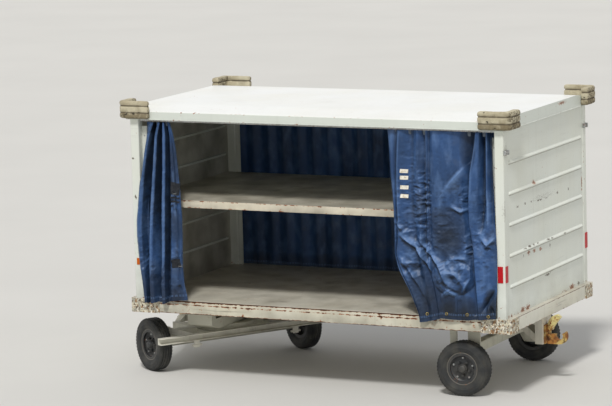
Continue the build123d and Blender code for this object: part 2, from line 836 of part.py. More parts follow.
# Bolster: the turntable's fixed half, a trough with sloped ends, with the kingpin and the upper race
with BuildPart(Plane((turntable_x, 0, 0))) as bolster:
    slope = bolster_lift / bolster_taper
    for drop, mode in ((0, Mode.ADD), (bolster_wall, Mode.SUBTRACT)):
        half_x = bolster_half_x - drop
        half_y = bolster_half_y - drop
        floor = drop * (1 + slope**2) ** 0.5
        knee = bolster_half_y - bolster_taper - (floor - drop) / slope
        end_z = bolster_bottom + bolster_lift - slope * drop + floor
        side_plane = Plane(origin=(turntable_x - half_x, 0, 0), x_dir=(0, 1, 0), z_dir=(1, 0, 0))
        with BuildSketch(side_plane):
            Polygon(
                (-half_y, bolster_top),
                (-half_y, end_z),
                (-knee, bolster_bottom + drop),
                (knee, bolster_bottom + drop),
                (half_y, end_z),
                (half_y, bolster_top),
                align=None,
            )
        extrude(amount=2 * half_x, mode=mode)
    for side in (-1, 1):
        leg = sorted((side * (bolster_half_y - bolster_leg), side * bolster_half_y))
        block((-bolster_half_x, bolster_half_x), leg, (bolster_top, member_bottom))
        gap = sorted((side * (bolster_half_y - bolster_leg), side * (bolster_half_y - bolster_wall)))
        block(
            (-bolster_half_x + bolster_wall, bolster_half_x - bolster_wall),
            gap,
            (bolster_top, member_bottom),
            mode=Mode.SUBTRACT,
        )
    with Locations((0, 0, bolster_bottom)):
        Cylinder(race_outer, race_thick, align=(Align.CENTER, Align.CENTER, Align.MAX))
        Cylinder(
            race_inner,
            race_thick,
            align=(Align.CENTER, Align.CENTER, Align.MAX),
            mode=Mode.SUBTRACT,
        )
        Cylinder(
            kingpin_radius,
            bolster_bottom - beam_bottom - kingpin_short,
            align=(Align.CENTER, Align.CENTER, Align.MAX),
        )
bolster.part.label = "turntable_bolster"
export_step(bolster.part, "parts/turntable_bolster.step")

# Steered frame: the axle beam with the lower race, arms, the tongue and the drawbar's ears
race_top = bolster_bottom - race_thick - race_gap
beam_top = race_top - race_thick
brake_face = tyre_radius + brake_gap
with BuildPart(steer) as steer_frame:
    block((-beam_half_x, beam_half_x), (-beam_half_y, beam_half_y), (beam_bottom, beam_top))
    block(
        (-beam_half_x + beam_wall, beam_half_x - beam_wall),
        (-beam_half_y, beam_half_y),
        (beam_bottom, beam_top - beam_wall),
        mode=Mode.SUBTRACT,
    )
    for side in (-1, 1):
        arm = (side * arm_y - arm_side / 2, side * arm_y + arm_side / 2)
        block((tongue_root_x, brake_face), arm, (arm_bottom, arm_bottom + arm_side))
    with Locations((0, 0, beam_bottom)):
        Cylinder(
            kingpin_radius + kingpin_boss,
            beam_top - beam_bottom,
            align=(Align.CENTER, Align.CENTER, Align.MIN),
        )
    with Locations((0, 0, beam_top)):
        Cylinder(race_outer, race_thick, align=(Align.CENTER, Align.CENTER, Align.MIN))
    with Locations((0, 0, beam_bottom)):
        Cylinder(
            kingpin_radius + running_gap,
            race_top - beam_bottom,
            align=(Align.CENTER, Align.CENTER, Align.MIN),
            mode=Mode.SUBTRACT,
        )
    tongue_bottom = hinge_z - tongue_drop
    with BuildSketch(steered(Plane.XY.offset(tongue_bottom))):
        root = arm_y + arm_side / 2
        Polygon(
            (tongue_root_x, -root),
            (tongue_nose_x, -tongue_nose_half),
            (tongue_nose_x, tongue_nose_half),
            (tongue_root_x, root),
            align=None,
        )
        Polygon(
            (tongue_root_x - tongue_side, -root + tongue_root_bar),
            (tongue_nose_x + tongue_side, -tongue_nose_half + tongue_nose_bar),
            (tongue_nose_x + tongue_side, tongue_nose_half - tongue_nose_bar),
            (tongue_root_x - tongue_side, root - tongue_root_bar),
            align=None,
            mode=Mode.SUBTRACT,
        )
    extrude(amount=tongue_side)
    for side in (-1, 1):
        ear_face = side * (boss_half + ear_gap)
        with BuildSketch(steered(Plane(origin=(0, ear_face, 0), x_dir=(1, 0, 0), z_dir=(0, -1, 0)))):
            with Locations((hinge_x, hinge_z)):
                Circle(ear_radius)
            Polygon(
                (hinge_x, hinge_z - ear_radius),
                (tongue_nose_x, tongue_bottom),
                (tongue_nose_x, tongue_bottom + tongue_side),
                (hinge_x, hinge_z + ear_radius),
                align=None,
            )
        extrude(amount=-side * ear_plate)
    with Locations((hinge_x, 0, hinge_z)):
        Cylinder(hinge_pin_radius, 2 * (boss_half + ear_gap + ear_plate), rotation=(90, 0, 0))
steer_frame.part.label = "steer_frame"
export_step(steer_frame.part, "parts/steer_frame.step")

# Scrub brake bar: a channel across the backs of both front tyres, with a pinned foot on each side,
# held by sloping struts from plates on the axle beam's ends
with BuildPart(steer) as brake_bar:
    for side in (-1, 1):
        plate = sorted((side * beam_half_y, side * (beam_half_y + end_plate)))
        block((-beam_half_x, beam_half_x), plate, (beam_bottom, end_plate_top))
        root = Vector(strut_x, side * (beam_half_y + end_plate / 2), strut_root_z)
        foot = Vector(brake_face, side * strut_y, arm_bottom + arm_side / 2)
        along = foot - root
        strut_plane = Plane(origin=(root + foot) / 2, x_dir=along, z_dir=Vector(0, 0, 1).cross(along))
        with BuildSketch(steered(strut_plane)):
            Rectangle(along.length + 2 * strut_plate, strut_depth)
        extrude(amount=strut_plate / 2, both=True)
    for beside in ((brake_face, 2 * brake_face), (-beam_half_x, beam_half_x)):
        block(beside, (-beam_half_y, beam_half_y), (0, bolster_bottom), mode=Mode.SUBTRACT)
    bar_plane = Plane(
        origin=(brake_face, -brake_half, arm_bottom + arm_side / 2), x_dir=(1, 0, 0), z_dir=(0, 1, 0)
    )
    with BuildSketch(steered(bar_plane)):
        Rectangle(brake_side, brake_side, align=(Align.MIN, Align.CENTER))
        with Locations((brake_wall, 0)):
            Rectangle(
                brake_side, brake_side - 2 * brake_wall, align=(Align.MIN, Align.CENTER), mode=Mode.SUBTRACT
            )
    extrude(amount=2 * brake_half)
    foot_x = brake_face + brake_side
    for side in (-1, 1):
        foot = (side * strut_y - foot_width / 2, side * strut_y + foot_width / 2)
        block((foot_x - foot_plate, foot_x), foot, (foot_bottom, arm_bottom + brake_wall))
        with Locations((foot_x - foot_plate / 2, side * strut_y, foot_bottom + foot_pin_rise)):
            Cylinder(foot_pin_radius, 2 * foot_pin_half, rotation=(90, 0, 0))
brake_bar.part.label = "brake_bar"
export_step(brake_bar.part, "parts/brake_bar.step")

# Drawbar: a hinge boss, a square tube and a towing eye, drawn along its own length
bar_dir = (sin(radians(bar_lean)), 0, cos(radians(bar_lean)))
bar_plane = steered(Plane(origin=(hinge_x, 0, hinge_z), x_dir=bar_dir, z_dir=(0, 1, 0)))
with BuildPart(bar_plane) as drawbar:
    with Locations((eye_distance, 0, 0)):
        Cylinder(eye_radius, eye_thick, rotation=(90, 0, 0))
    fillet(drawbar.edges().filter_by(GeomType.CIRCLE), eye_round)
    Cylinder(boss_radius, 2 * boss_half)
    tube_plane = Plane(bar_plane.location * Plane.YZ.location)
    with BuildSketch(tube_plane):
        RectangleRounded(bar_side, bar_side, bar_edge)
    extrude(amount=eye_distance - eye_radius - shank_length / 2)
    block(
        (eye_distance - eye_radius - shank_length, eye_distance - eye_bore - shank_overlap),
        (-eye_thick / 2, eye_thick / 2),
        (-shank_half, shank_half),
    )
    with Locations((eye_distance, 0, 0)):
        Cylinder(eye_bore, 2 * eye_thick, rotation=(90, 0, 0), mode=Mode.SUBTRACT)
    Cylinder(hinge_pin_radius + running_gap, 4 * boss_half, mode=Mode.SUBTRACT)
drawbar.part.label = "drawbar"
export_step(drawbar.part, "parts/drawbar.step")

# Hitch post: a channel-like box below the rear rail that carries the pintle hook
with BuildPart() as hitch_post:
    for drop, reach, mode in ((0, hitch_thick, Mode.ADD), (hitch_wall, hitch_thick - hitch_wall, Mode.SUBTRACT)):
        half = hitch_half - drop
        foot = hitch_bottom + drop
        with BuildSketch(Plane(origin=(hitch_face - hitch_thick, 0, 0), x_dir=(0, 1, 0), z_dir=(1, 0, 0))) as box:
            Polygon((-half, foot), (half, foot), (half, rail_top), (-half, rail_top), align=None)
            fillet(box.vertices().group_by(Axis.Y)[0], hitch_round - drop)
        extrude(amount=reach, mode=mode)
hitch_post.part.label = "hitch_post"
export_step(hitch_post.part, "parts/hitch_post.step")

# Hitch brace: a sloping channel, open below, from the post's foot up to the frame
brace_end = hitch_face - hitch_thick
rise = member_bottom - brace_foot_z
brace_inner = brace_wall * (1 + brace_slope**2) ** 0.5
with BuildPart() as hitch_brace:
    with BuildSketch(Plane(origin=(0, brace_half, 0), x_dir=(1, 0, 0), z_dir=(0, -1, 0))):
        Polygon(
            (brace_end, brace_foot_z),
            (brace_end, brace_foot_z + brace_depth),
            (brace_end - (rise - brace_depth) / brace_slope, member_bottom),
            (brace_end - rise / brace_slope, member_bottom),
            align=None,
        )
    extrude(amount=2 * brace_half)
    with BuildSketch(Plane(origin=(0, brace_half - brace_wall, 0), x_dir=(1, 0, 0), z_dir=(0, -1, 0))):
        Polygon(
            (brace_end, brace_foot_z),
            (brace_end, brace_foot_z + brace_depth - brace_inner),
            (brace_end - (rise - brace_depth + brace_inner) / brace_slope, member_bottom),
            (brace_end - rise / brace_slope, member_bottom),
            align=None,
        )
    extrude(amount=2 * (brace_half - brace_wall), mode=Mode.SUBTRACT)
hitch_brace.part.label = "hitch_brace"
export_step(hitch_brace.part, "parts/hitch_brace.step")

# Pintle hook: a back plate, a lower hook round the throat and two ears with the jaw's pin
tip = (cos(radians(hook_tip_angle)), sin(radians(hook_tip_angle)))
with BuildPart() as pintle_hook:
    block(
        (hitch_face, hitch_face + hook_plate),
        (-hook_plate_half, hook_plate_half),
        (hitch_bottom + hook_plate_foot, jaw_pin_z + hook_plate_head),
    )
    with BuildSketch(Plane(origin=(0, hook_half, 0), x_dir=(1, 0, 0), z_dir=(0, -1, 0))):
        with Locations((throat_x, throat_z)):
            Circle(hook_radius)
            Polygon(
                (0, 0),
                (tip[0] * 2 * hook_radius, tip[1] * 2 * hook_radius),
                (0, 2 * hook_radius),
                (-2 * hook_radius, 2 * hook_radius),
                (-2 * hook_radius, neck_rise),
                (0, neck_rise),
                align=None,
                mode=Mode.SUBTRACT,
            )
        Polygon(
            (hitch_face + hook_plate, throat_z - hook_radius),
            (throat_x, throat_z - hook_radius),
            (throat_x, throat_z + neck_rise),
            (hitch_face + hook_plate, throat_z + neck_rise),
            align=None,
        )
        with Locations((throat_x, throat_z)):
            Circle(throat_radius, mode=Mode.SUBTRACT)
    extrude(amount=2 * hook_half)
    for side in (-1, 1):
        ear_face = side * (jaw_half + jaw_gap)
        with BuildSketch(Plane(origin=(0, ear_face, 0), x_dir=(1, 0, 0), z_dir=(0, -1, 0))):
            with Locations((jaw_pin_x, jaw_pin_z)):
                Circle(jaw_ear_radius)
            Polygon(
                (hitch_face + hook_plate, jaw_pin_z - 1.4 * jaw_ear_radius),
                (jaw_pin_x, jaw_pin_z - jaw_ear_radius),
                (jaw_pin_x, jaw_pin_z + jaw_ear_radius),
                (hitch_face + hook_plate, jaw_pin_z + 1.4 * jaw_ear_radius),
                align=None,
            )
        extrude(amount=-side * jaw_ear)
    with Locations((jaw_pin_x, 0, jaw_pin_z)):
        Cylinder(jaw_pin_radius, 2 * (jaw_half + jaw_gap + jaw_ear), rotation=(90, 0, 0))
pintle_hook.part.label = "pintle_hook"
export_step(pintle_hook.part, "parts/pintle_hook.step")

# Pintle jaw: raised, it leaves the throat open from above
jaw_dir = (cos(radians(jaw_raise)), 0, sin(radians(jaw_raise)))
jaw_plane = Plane(origin=(jaw_pin_x, 0, jaw_pin_z), x_dir=jaw_dir, z_dir=(0, -1, 0))
with BuildPart() as pintle_jaw:
    with BuildSketch(jaw_plane.offset(-jaw_half)):
        with BuildLine():
            Polyline(
                (-jaw_boss, 0),
                (0, -jaw_under),
                (jaw_length, -jaw_under),
                (jaw_length, jaw_tip - jaw_under),
            )
            ThreePointArc(
                (jaw_length, jaw_tip - jaw_under), (jaw_crown_x, jaw_crown), (-jaw_boss, 0)
            )
        make_face()
        Circle(jaw_boss)
        Circle(jaw_pin_radius + running_gap, mode=Mode.SUBTRACT)
    extrude(amount=2 * jaw_half)
pintle_jaw.part.label = "pintle_jaw"
export_step(pintle_jaw.part, "parts/pintle_jaw.step")
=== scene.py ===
"""Looks for a covered airport baggage cart: worn enamel, navy curtains, dusty wheels and a rusty hook."""

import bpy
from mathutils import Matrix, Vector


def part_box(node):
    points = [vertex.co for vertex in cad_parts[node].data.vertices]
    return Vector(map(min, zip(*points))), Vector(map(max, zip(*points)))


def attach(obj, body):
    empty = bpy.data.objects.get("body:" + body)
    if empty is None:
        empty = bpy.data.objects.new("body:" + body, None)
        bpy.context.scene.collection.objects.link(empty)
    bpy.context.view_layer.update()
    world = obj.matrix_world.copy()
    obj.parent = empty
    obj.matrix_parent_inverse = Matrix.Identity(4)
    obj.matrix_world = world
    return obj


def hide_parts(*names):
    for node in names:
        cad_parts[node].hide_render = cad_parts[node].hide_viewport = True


bl_info = {
    "name": "Covered baggage cart",
    "version": (1, 0, 0),
    "blender": (4, 5, 0),
    "location": "View3D > Sidebar > Cart",
    "description": "Finishes, curtains, tyres, fittings and stage for a covered baggage cart",
    "category": "Object",
}

from math import cos, pi, radians, sin, sqrt

import bmesh
import bpy
import numpy as np
from bpy.props import FloatProperty, FloatVectorProperty, IntProperty, PointerProperty, StringProperty
from mathutils import Matrix, Vector, noise

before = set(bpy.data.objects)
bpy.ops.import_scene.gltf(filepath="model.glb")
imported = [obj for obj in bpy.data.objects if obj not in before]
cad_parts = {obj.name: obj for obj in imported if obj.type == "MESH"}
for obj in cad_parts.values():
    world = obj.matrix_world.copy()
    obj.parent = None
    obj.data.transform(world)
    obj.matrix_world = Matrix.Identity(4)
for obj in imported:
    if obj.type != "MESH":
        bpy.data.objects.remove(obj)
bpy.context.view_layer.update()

MIDDLE = 0.069  # where the body's own middle stands along X
PANEL_X = MIDDLE + 1.522  # the rear end panel's outer face
BATTEN_BOLTS_X = 1.434  # from the body's middle to the bolts in the battens
WHEELS = ("front_near", "front_far", "rear_near", "rear_far")
AXLE_STEER = radians(-32.08)  # how far the front axle is turned as it is parked

# Heights of the edges that wear, and of the bumpers' grooves
RAIL_FOOT, RAIL_LIP, RAIL_TOP = 0.507, 0.578, 0.611
DECK = 0.612
SHELF_FOOT, SHELF_TOP = 1.316, 1.369
ROOF_FOOT, EAVES = 1.993, 2.052
BUMPER_GROOVES = (2.044, 2.096)

# How a curtain hangs: distances are from the body's middle plane
TRACK_Y = 0.806  # the track's middle
HANGER_Z = 1.972  # the middles of the loops that hold it
CLOTH_TOP, CLOTH_OUT = 1.974, 0.815  # its top edge
CLOTH_LEAN = 0.047  # how much further out it hangs at the deck

# What holds a curtain off: where that starts, and how far out the cloth then lies at least
BATTEN_X, BATTEN_TOP, OVER_BATTEN = 1.408, 1.94, 0.786
POST_X, OVER_POST = 1.4505, 0.8425
DECK_EDGE_TOP, OVER_DECK_EDGE = 0.630, 0.8445

PANEL_MARKS = (
    # kind, y, z, half width, half height: knocks from other carts along the ribs and the deck
    ("chip", -0.570, 1.402, 0.028, 0.014),
    ("chip", -0.423, 1.404, 0.026, 0.016),
    ("chip", -0.300, 1.400, 0.018, 0.010),
    ("chip", -0.160, 1.390, 0.036, 0.010),
    ("chip", -0.110, 1.388, 0.028, 0.009),
    ("chip", 0.000, 1.384, 0.028, 0.010),
    ("chip", 0.230, 1.390, 0.032, 0.013),
    ("chip", 0.461, 1.388, 0.022, 0.014),
    ("spray", -0.056, 1.406, 0.360, 0.042),
    ("chip", -0.440, 1.074, 0.050, 0.008),
    ("chip", -0.355, 1.077, 0.036, 0.012),
    ("chip", -0.275, 1.076, 0.036, 0.010),
    ("chip", -0.195, 1.074, 0.030, 0.009),
    ("chip", 0.010, 1.071, 0.060, 0.010),
    ("chip", 0.090, 1.070, 0.040, 0.008),
    ("chip", 0.350, 1.066, 0.050, 0.008),
    ("chip", -0.470, 1.024, 0.014, 0.016),
    ("rust", -0.367, 1.032, 0.038, 0.026),
    ("rust", -0.260, 1.027, 0.042, 0.022),
    ("rust", -0.131, 1.020, 0.036, 0.022),
    ("chip", 0.063, 1.017, 0.018, 0.024),
    ("rust", -0.251, 1.536, 0.044, 0.026),
    ("chip", 0.009, 0.806, 0.075, 0.016),
    ("chip", -0.300, 0.822, 0.060, 0.008),
    ("chip", 0.080, 0.822, 0.080, 0.008),
    ("rust", -0.502, 0.628, 0.060, 0.036),
    ("rust", -0.400, 0.626, 0.064, 0.036),
    ("rust", 0.507, 0.626, 0.080, 0.034),
    ("chip", 0.649, 0.632, 0.036, 0.022),
    ("rust", 0.745, 1.390, 0.018, 0.100),
)
POST_MARKS = (
    # kind, middle, half sizes
    ("smudge", (1.595, -0.826, 1.405), (0.03, 0.014, 0.085)),
    ("smudge", (1.595, -0.790, 1.840), (0.02, 0.050, 0.060)),
    ("chip", (-1.440, -0.838, 1.690), (0.016, 0.05, 0.012)),
    ("chip", (-1.428, -0.838, 1.390), (0.012, 0.05, 0.030)),
)
ROOF_MARKS = (("rust", (1.619, 0.290, 2.064), (0.05, 0.110, 0.018)),)
WEARERS = (
    # start of a node's name, its finish: the first that fits counts
    ("roof_bumpers", "bumper"),
    ("roof_frame", "roof_frame"),
    ("roof", "roof"),
    ("post_", "post"),
    ("end_panel", "end_panel"),
    ("shelf", "shelf"),
    ("deck", "deck"),
    ("side_rail", "side_rail"),
    ("end_rail", "end_rail"),
    ("corner_guards", "corner_guards"),
    ("cross_members", "under"),
    ("stringers", "under"),
    ("curtain_tracks", "track"),
    ("amber_reflectors", "amber"),
    ("red_reflectors", "red"),
    ("pintle_hook", "iron"),
    ("pintle_jaw", "jaw"),
    ("drawbar", "drawbar"),
    ("hitch_", "hitch"),
    ("wheel_", "disc"),
    ("rear_", "gear"),
    ("front_axle", "gear"),
    ("turntable", "gear"),
    ("steer_frame", "gear"),
    ("brake_bar", "brake_bar"),
)
cloths = {}  # each curtain's Cloth, once it hangs


class CartColours(bpy.types.PropertyGroup):
    """Colours of the cart's finishes, as sRGB hex values."""

    body: StringProperty(name="Body enamel", description="Posts, panels and fascias", default="#E2E7E0")
    roof: StringProperty(name="Roof enamel", description="The roof's crown and slopes", default="#F3F5F3")
    inside: StringProperty(name="Inside enamel", description="Deck, shelf and inner faces", default="#B9B5A8")
    rail: StringProperty(name="Rail enamel", description="Rails and corner guards", default="#D6D3C2")
    gear: StringProperty(name="Running gear", description="Axles, bolster, steered frame", default="#CFCEBE")
    dirt: StringProperty(name="Dirt", description="Road film and grime", default="#6A6456")
    rust: StringProperty(name="Rust", description="Fresh rust round a chip", default="#9C5A2B")
    old_rust: StringProperty(name="Old rust", description="Dark rust inside a chip", default="#402819")
    curtain: StringProperty(name="Curtain", description="Coated navy cloth", default="#345688")
    rubber: StringProperty(name="Tyre rubber", description="Tread and side walls", default="#2B2D2E")
    bumper: StringProperty(name="Bumper rubber", description="Dusty roof bumpers", default="#B4AA8F")
    disc: StringProperty(name="Wheel disc", description="Black wheel enamel", default="#2B2D2F")
    drawbar: StringProperty(name="Drawbar enamel", description="Yellow drawbar and jaw", default="#C4A250")


class CartSizes(bpy.types.PropertyGroup):
    """Sizes of the pieces that are added to the frame."""

    groove: FloatProperty(
        name="Tread groove", description="Depth of a groove in the tread", default=0.006, unit="LENGTH"
    )
    lugs: IntProperty(name="Shoulder lugs", description="Lugs round each tyre's shoulder", default=48)
    nut_circle: FloatProperty(
        name="Nut circle", description="Radius of the circle of hub nuts", default=0.053, unit="LENGTH"
    )
    nut_width: FloatProperty(name="Nut", description="Across its flats", default=0.019, unit="LENGTH")
    bolt_circle: FloatProperty(
        name="Bolt circle", description="Radius of the bolts that join a rim's halves", default=0.079,
        unit="LENGTH",
    )
    bolt_width: FloatProperty(name="Bolt", description="Across its flats", default=0.015, unit="LENGTH")
    wheel_nuts: IntProperty(name="Wheel nuts", description="Nuts, and as many bolts, on a wheel", default=5)
    rivet: FloatProperty(name="Rivet head", description="Its diameter", default=0.011, unit="LENGTH")
    cloth_cell: FloatProperty(
        name="Cloth cell", description="Spacing of a curtain's mesh", default=0.0055, unit="LENGTH"
    )


class CartStage(bpy.types.PropertyGroup):
    """Camera, lights and floor."""

    yaw: FloatProperty(name="Yaw", description="Camera turn about the vertical", default=0.44947291)
    pitch: FloatProperty(name="Pitch", description="Camera tilt below the horizon", default=0.14823361)
    roll: FloatProperty(name="Roll", description="Camera roll", default=-0.02680971)
    lens: FloatProperty(name="Lens", description="Focal length on a 36 mm sensor, in mm", default=189.65)
    place: FloatVectorProperty(
        name="Place", description="Camera position", default=(10.2262 + MIDDLE, -22.1600, 4.9399)
    )
    floor: StringProperty(name="Floor", description="Pale studio floor", default="#D9D8D4")
    sky: FloatProperty(name="Sky", description="Strength of the soft light from all round", default=0.49)
    sun: FloatProperty(name="Key", description="Strength of the key lamp", default=2.0)


def linear(hex_colour):
    """An sRGB hex colour as the linear colour that a socket takes."""
    parts = [int(hex_colour[at : at + 2], 16) / 255 for at in (1, 3, 5)]
    return tuple(c / 12.92 if c <= 0.04045 else ((c + 0.055) / 1.055) ** 2.4 for c in parts) + (1.0,)


def shaded(colour, factors, lift=(0.0, 0.0, 0.0)):
    """The colour with each channel scaled by its factor and raised by its lift."""
    return tuple(c * factor + rise for c, factor, rise in zip(colour, factors, lift)) + (1.0,)


def put(tree, kind, sockets=(), ramp=(), out=0, **settings):
    """Adds a node with its settings, its sockets' values or links by name or in order, and its ramp stops."""
    made = tree.nodes.new(kind)
    for name, value in settings.items():
        setattr(made, name, value)
    shown = [s for s in made.inputs if s.enabled]
    pairs = sockets.items() if isinstance(sockets, dict) else enumerate(sockets)
    for key, value in pairs:
        entry = shown[key] if isinstance(key, int) else next(s for s in shown if s.name == key)
        if isinstance(value, bpy.types.NodeSocket):
            tree.links.new(value, entry)
        elif value is not None:
            entry.default_value = value
    if ramp:
        stops = made.color_ramp.elements
        while len(stops) < len(ramp):
            stops.new(0.5)
        for stop, (at, value) in zip(stops, ramp):
            stop.position = at
            stop.color = value if isinstance(value, tuple) else (value, value, value, 1.0)
    outputs = [s for s in made.outputs if s.enabled]
    if isinstance(out, str):
        return next(s for s in outputs if s.name == out)
    return outputs[out] if outputs else None


def new_material(name):
    """A named material with an empty tree: the material, its tree, its shader node and Object coordinates."""
    material = bpy.data.materials.new(name)
    material.use_nodes = True
    tree = material.node_tree
    tree.nodes.clear()
    surface = put(tree, "ShaderNodeBsdfPrincipled")
    put(tree, "ShaderNodeOutputMaterial", {"Surface": surface})
    return material, tree, surface.node, put(tree, "ShaderNodeTexCoord", out="Object")


def patches(tree, place, scale, low, high, stretch=(1, 1, 1), detail=5.0, top=1.0):
    """Blotches: nothing below low, rising to top above high. stretch scales them along each axis."""
    spread = put(tree, "ShaderNodeMapping", {"Vector": place, "Scale": stretch})
    grain = put(tree, "ShaderNodeTexNoise", {"Vector": spread, "Scale": scale, "Detail": detail})
    return put(tree, "ShaderNodeValToRGB", (grain,), ramp=((low, 0.0), (high, top)))


def looking(tree, axis):
    """How far a face looks along an axis, from -1 to 1."""
    normal = put(tree, "ShaderNodeNewGeometry", out="Normal")
    return put(tree, "ShaderNodeSeparateXYZ", (normal,), out=axis)


def off_level(tree, value, level):
    """How far a value is from a level, on either side of it."""
    away = put(tree, "ShaderNodeMath", (value, level), operation="SUBTRACT")
    return put(tree, "ShaderNodeMath", (away,), operation="ABSOLUTE")


def layered(tree, colour, layers):
    """Lays each (mask, colour) over the colours below it."""
    for mask, top in layers:
        colour = put(tree, "ShaderNodeMix", (mask, colour, top), data_type="RGBA")
    return colour


def surface_of(tree, shader, colour, rough, height, distance, strength=0.5):
    """Gives the shader its colour, its roughness and the fine relief that its height draws."""
    tree.links.new(colour, shader.inputs["Base Color"])
    if isinstance(rough, bpy.types.NodeSocket):
        tree.links.new(rough, shader.inputs["Roughness"])
    else:
        shader.inputs["Roughness"].default_value = rough
    relief = {"Height": height, "Distance": distance, "Strength": strength}
    tree.links.new(put(tree, "ShaderNodeBump", relief), shader.inputs["Normal"])


def weathered_enamel(
    name,
    paint,
    colours,
    edges=(),
    chips=0.0,
    foot=(0.6, 0.4, 0.5),
    film=0.3,
    streaks=0.3,
    scuffs=0.3,
    inside=None,
    gloss=0.40,
    under=0.0,
    upright=None,
    marks=(),
):
    """Brush-painted enamel on sheet steel that works outdoors.

    A soft gloss under road film, with rain streaks down it and dark scuffs along it. Where paint is
    knocked off, rust shows with a dark middle. edges are (height, reach, push) of levels that are chipped
    all along, foot is (height, reach, strength) of the dirt that rises from below, and inside is
    (axis, distance) within which a face belongs to the load space, which is greyer and grubbier. under is
    how dark the faces that look down are painted, as painted shade, and upright a darker colour painted on
    upright faces, as painted shade beside the lit tops. marks are single knocks: (kind, middle, half
    sizes), where a kind is a chip, rust, a spray of fine chips or a smudge.
    """
    dirt, rust, old_rust = linear(colours.dirt), linear(colours.rust), linear(colours.old_rust)
    material, tree, shader, place = new_material(name)
    height = put(tree, "ShaderNodeSeparateXYZ", (place,), out="Z")

    paint = linear(paint)
    yellowed = shaded(paint, (0.95, 0.92, 0.84))
    faded = patches(tree, place, 2.1, 0.38, 0.72, detail=4.0, top=0.5)

    # Road film: thick at the foot, in clouds above it
    rise = put(
        tree,
        "ShaderNodeMapRange",
        (height, foot[0], foot[0] + foot[1], foot[2], 0.0),
        interpolation_type="SMOOTHSTEP",
    )
    smears = patches(tree, place, 7.0, 0.34, 0.68, detail=8.0)
    splash = put(tree, "ShaderNodeMath", (rise, smears), operation="MULTIPLY")
    cloud = patches(tree, place, 3.3, 0.44, 0.78, detail=9.0, top=film)

    # Rain streaks down, scuffs along
    run = patches(tree, place, 1.0, 0.56, 0.74, stretch=(24, 24, 1.1), detail=4.0, top=streaks)
    rub = patches(tree, place, 1.0, 0.60, 0.67, stretch=(2.2, 2.2, 70), detail=5.0)
    where = patches(tree, place, 2.7, 0.50, 0.62, detail=3.0, top=scuffs)
    rub = put(tree, "ShaderNodeMath", (rub, where), operation="MULTIPLY")

    within = None
    if inside:
        axis, distance = inside
        across = put(tree, "ShaderNodeSeparateXYZ", (place,), out=axis)
        across = off_level(tree, across, MIDDLE if axis == "X" else 0.0)
        within = put(tree, "ShaderNodeMath", (across, distance), operation="LESS_THAN")

    # Wear: fine noise over broad noise, pushed up along the worn edges and cut at three levels
    fine = put(tree, "ShaderNodeTexNoise", {"Vector": place, "Scale": 34.0, "Detail": 7.0, "Roughness": 0.62})
    broad = put(tree, "ShaderNodeTexNoise", {"Vector": place, "Scale": 4.5, "Detail": 3.0})
    wear = put(tree, "ShaderNodeMath", (broad, 0.35, fine), operation="MULTIPLY_ADD")
    for level, reach, push in edges:
        away = off_level(tree, height, level)
        near = put(
            tree, "ShaderNodeMapRange", (away, 0.0, reach, push, 0.0), interpolation_type="SMOOTHERSTEP"
        )
        if within:
            near = put(tree, "ShaderNodeMix", (within, near, 0.0), data_type="FLOAT")
        wear = put(tree, "ShaderNodeMath", (wear, near), operation="ADD")
    cut = 0.95 - 0.14 * chips
    stain = put(tree, "ShaderNodeValToRGB", (wear,), ramp=((cut - 0.07, 0.0), (cut, 0.5)))
    chip = put(tree, "ShaderNodeValToRGB", (wear,), ramp=((cut - 0.012, 0.0), (cut + 0.008, 1.0)))
    core = put(tree, "ShaderNodeValToRGB", (wear,), ramp=((cut + 0.03, 0.0), (cut + 0.07, 1.0)))

    facing = looking(tree, "Z")
    layers = [(faded, yellowed)]
    # Painted shade: upright faces take a darker colour of their own beside the lit tops, and faces that look
    # down are darkened towards the dirt colour
    if upright:
        layers.append((put(tree, "ShaderNodeMapRange", (facing, 0.7, 0.3, 0.0, 1.0)), linear(upright)))
    if under:
        layers.append((put(tree, "ShaderNodeMapRange", (facing, -0.1, -0.5, 0.0, under)), dirt))
    if within:
        grubby = patches(tree, place, 4.2, 0.35, 0.66, detail=9.0, top=0.6)
        grubby = put(tree, "ShaderNodeMath", (within, grubby), operation="MULTIPLY")
        plain = put(tree, "ShaderNodeMath", (within, 0.7), operation="MULTIPLY")
        layers += [(plain, linear(colours.inside)), (grubby, dirt)]
    layers += [(cloud, dirt), (splash, dirt), (run, dirt), (rub, dirt)]
    layers += [(stain, rust), (chip, rust), (core, old_rust)]

    # Knocks: torn ovals, rusty or plain dark, with a darker middle
    torn = put(tree, "ShaderNodeTexNoise", {"Vector": place, "Scale": 75.0, "Detail": 5.0, "Roughness": 0.7})
    specks = put(tree, "ShaderNodeTexNoise", {"Vector": place, "Scale": 130.0, "Detail": 4.0})
    for kind, middle, half in marks:
        spot = {"Vector": place, "Location": middle, "Scale": half}
        spot = put(tree, "ShaderNodeMapping", spot, vector_type="TEXTURE")
        away = put(tree, "ShaderNodeVectorMath", (spot,), operation="LENGTH", out="Value")
        if kind == "spray":
            dots = put(tree, "ShaderNodeMapRange", (away, 1.0, 0.3, 0.0, 0.16))
            dots = put(tree, "ShaderNodeMath", (specks, dots), operation="ADD")
            layers.append((put(tree, "ShaderNodeMapRange", (dots, 0.69, 0.74, 0.0, 0.7)), dirt))
            continue
        away = put(tree, "ShaderNodeMath", (torn, 3.0, away), operation="MULTIPLY_ADD")
        if kind == "smudge":
            layers.append((put(tree, "ShaderNodeMapRange", (away, 2.5, 1.7, 0.0, 0.45)), dirt))
            continue
        edge = put(tree, "ShaderNodeMapRange", (away, 2.15, 1.95, 0.0, 0.9))
        heart = put(tree, "ShaderNodeMapRange", (away, 1.75, 1.60, 0.0, 0.8))
        layers += [(edge, rust if kind == "rust" else dirt), (heart, old_rust)]
    colour = layered(tree, paint, layers)

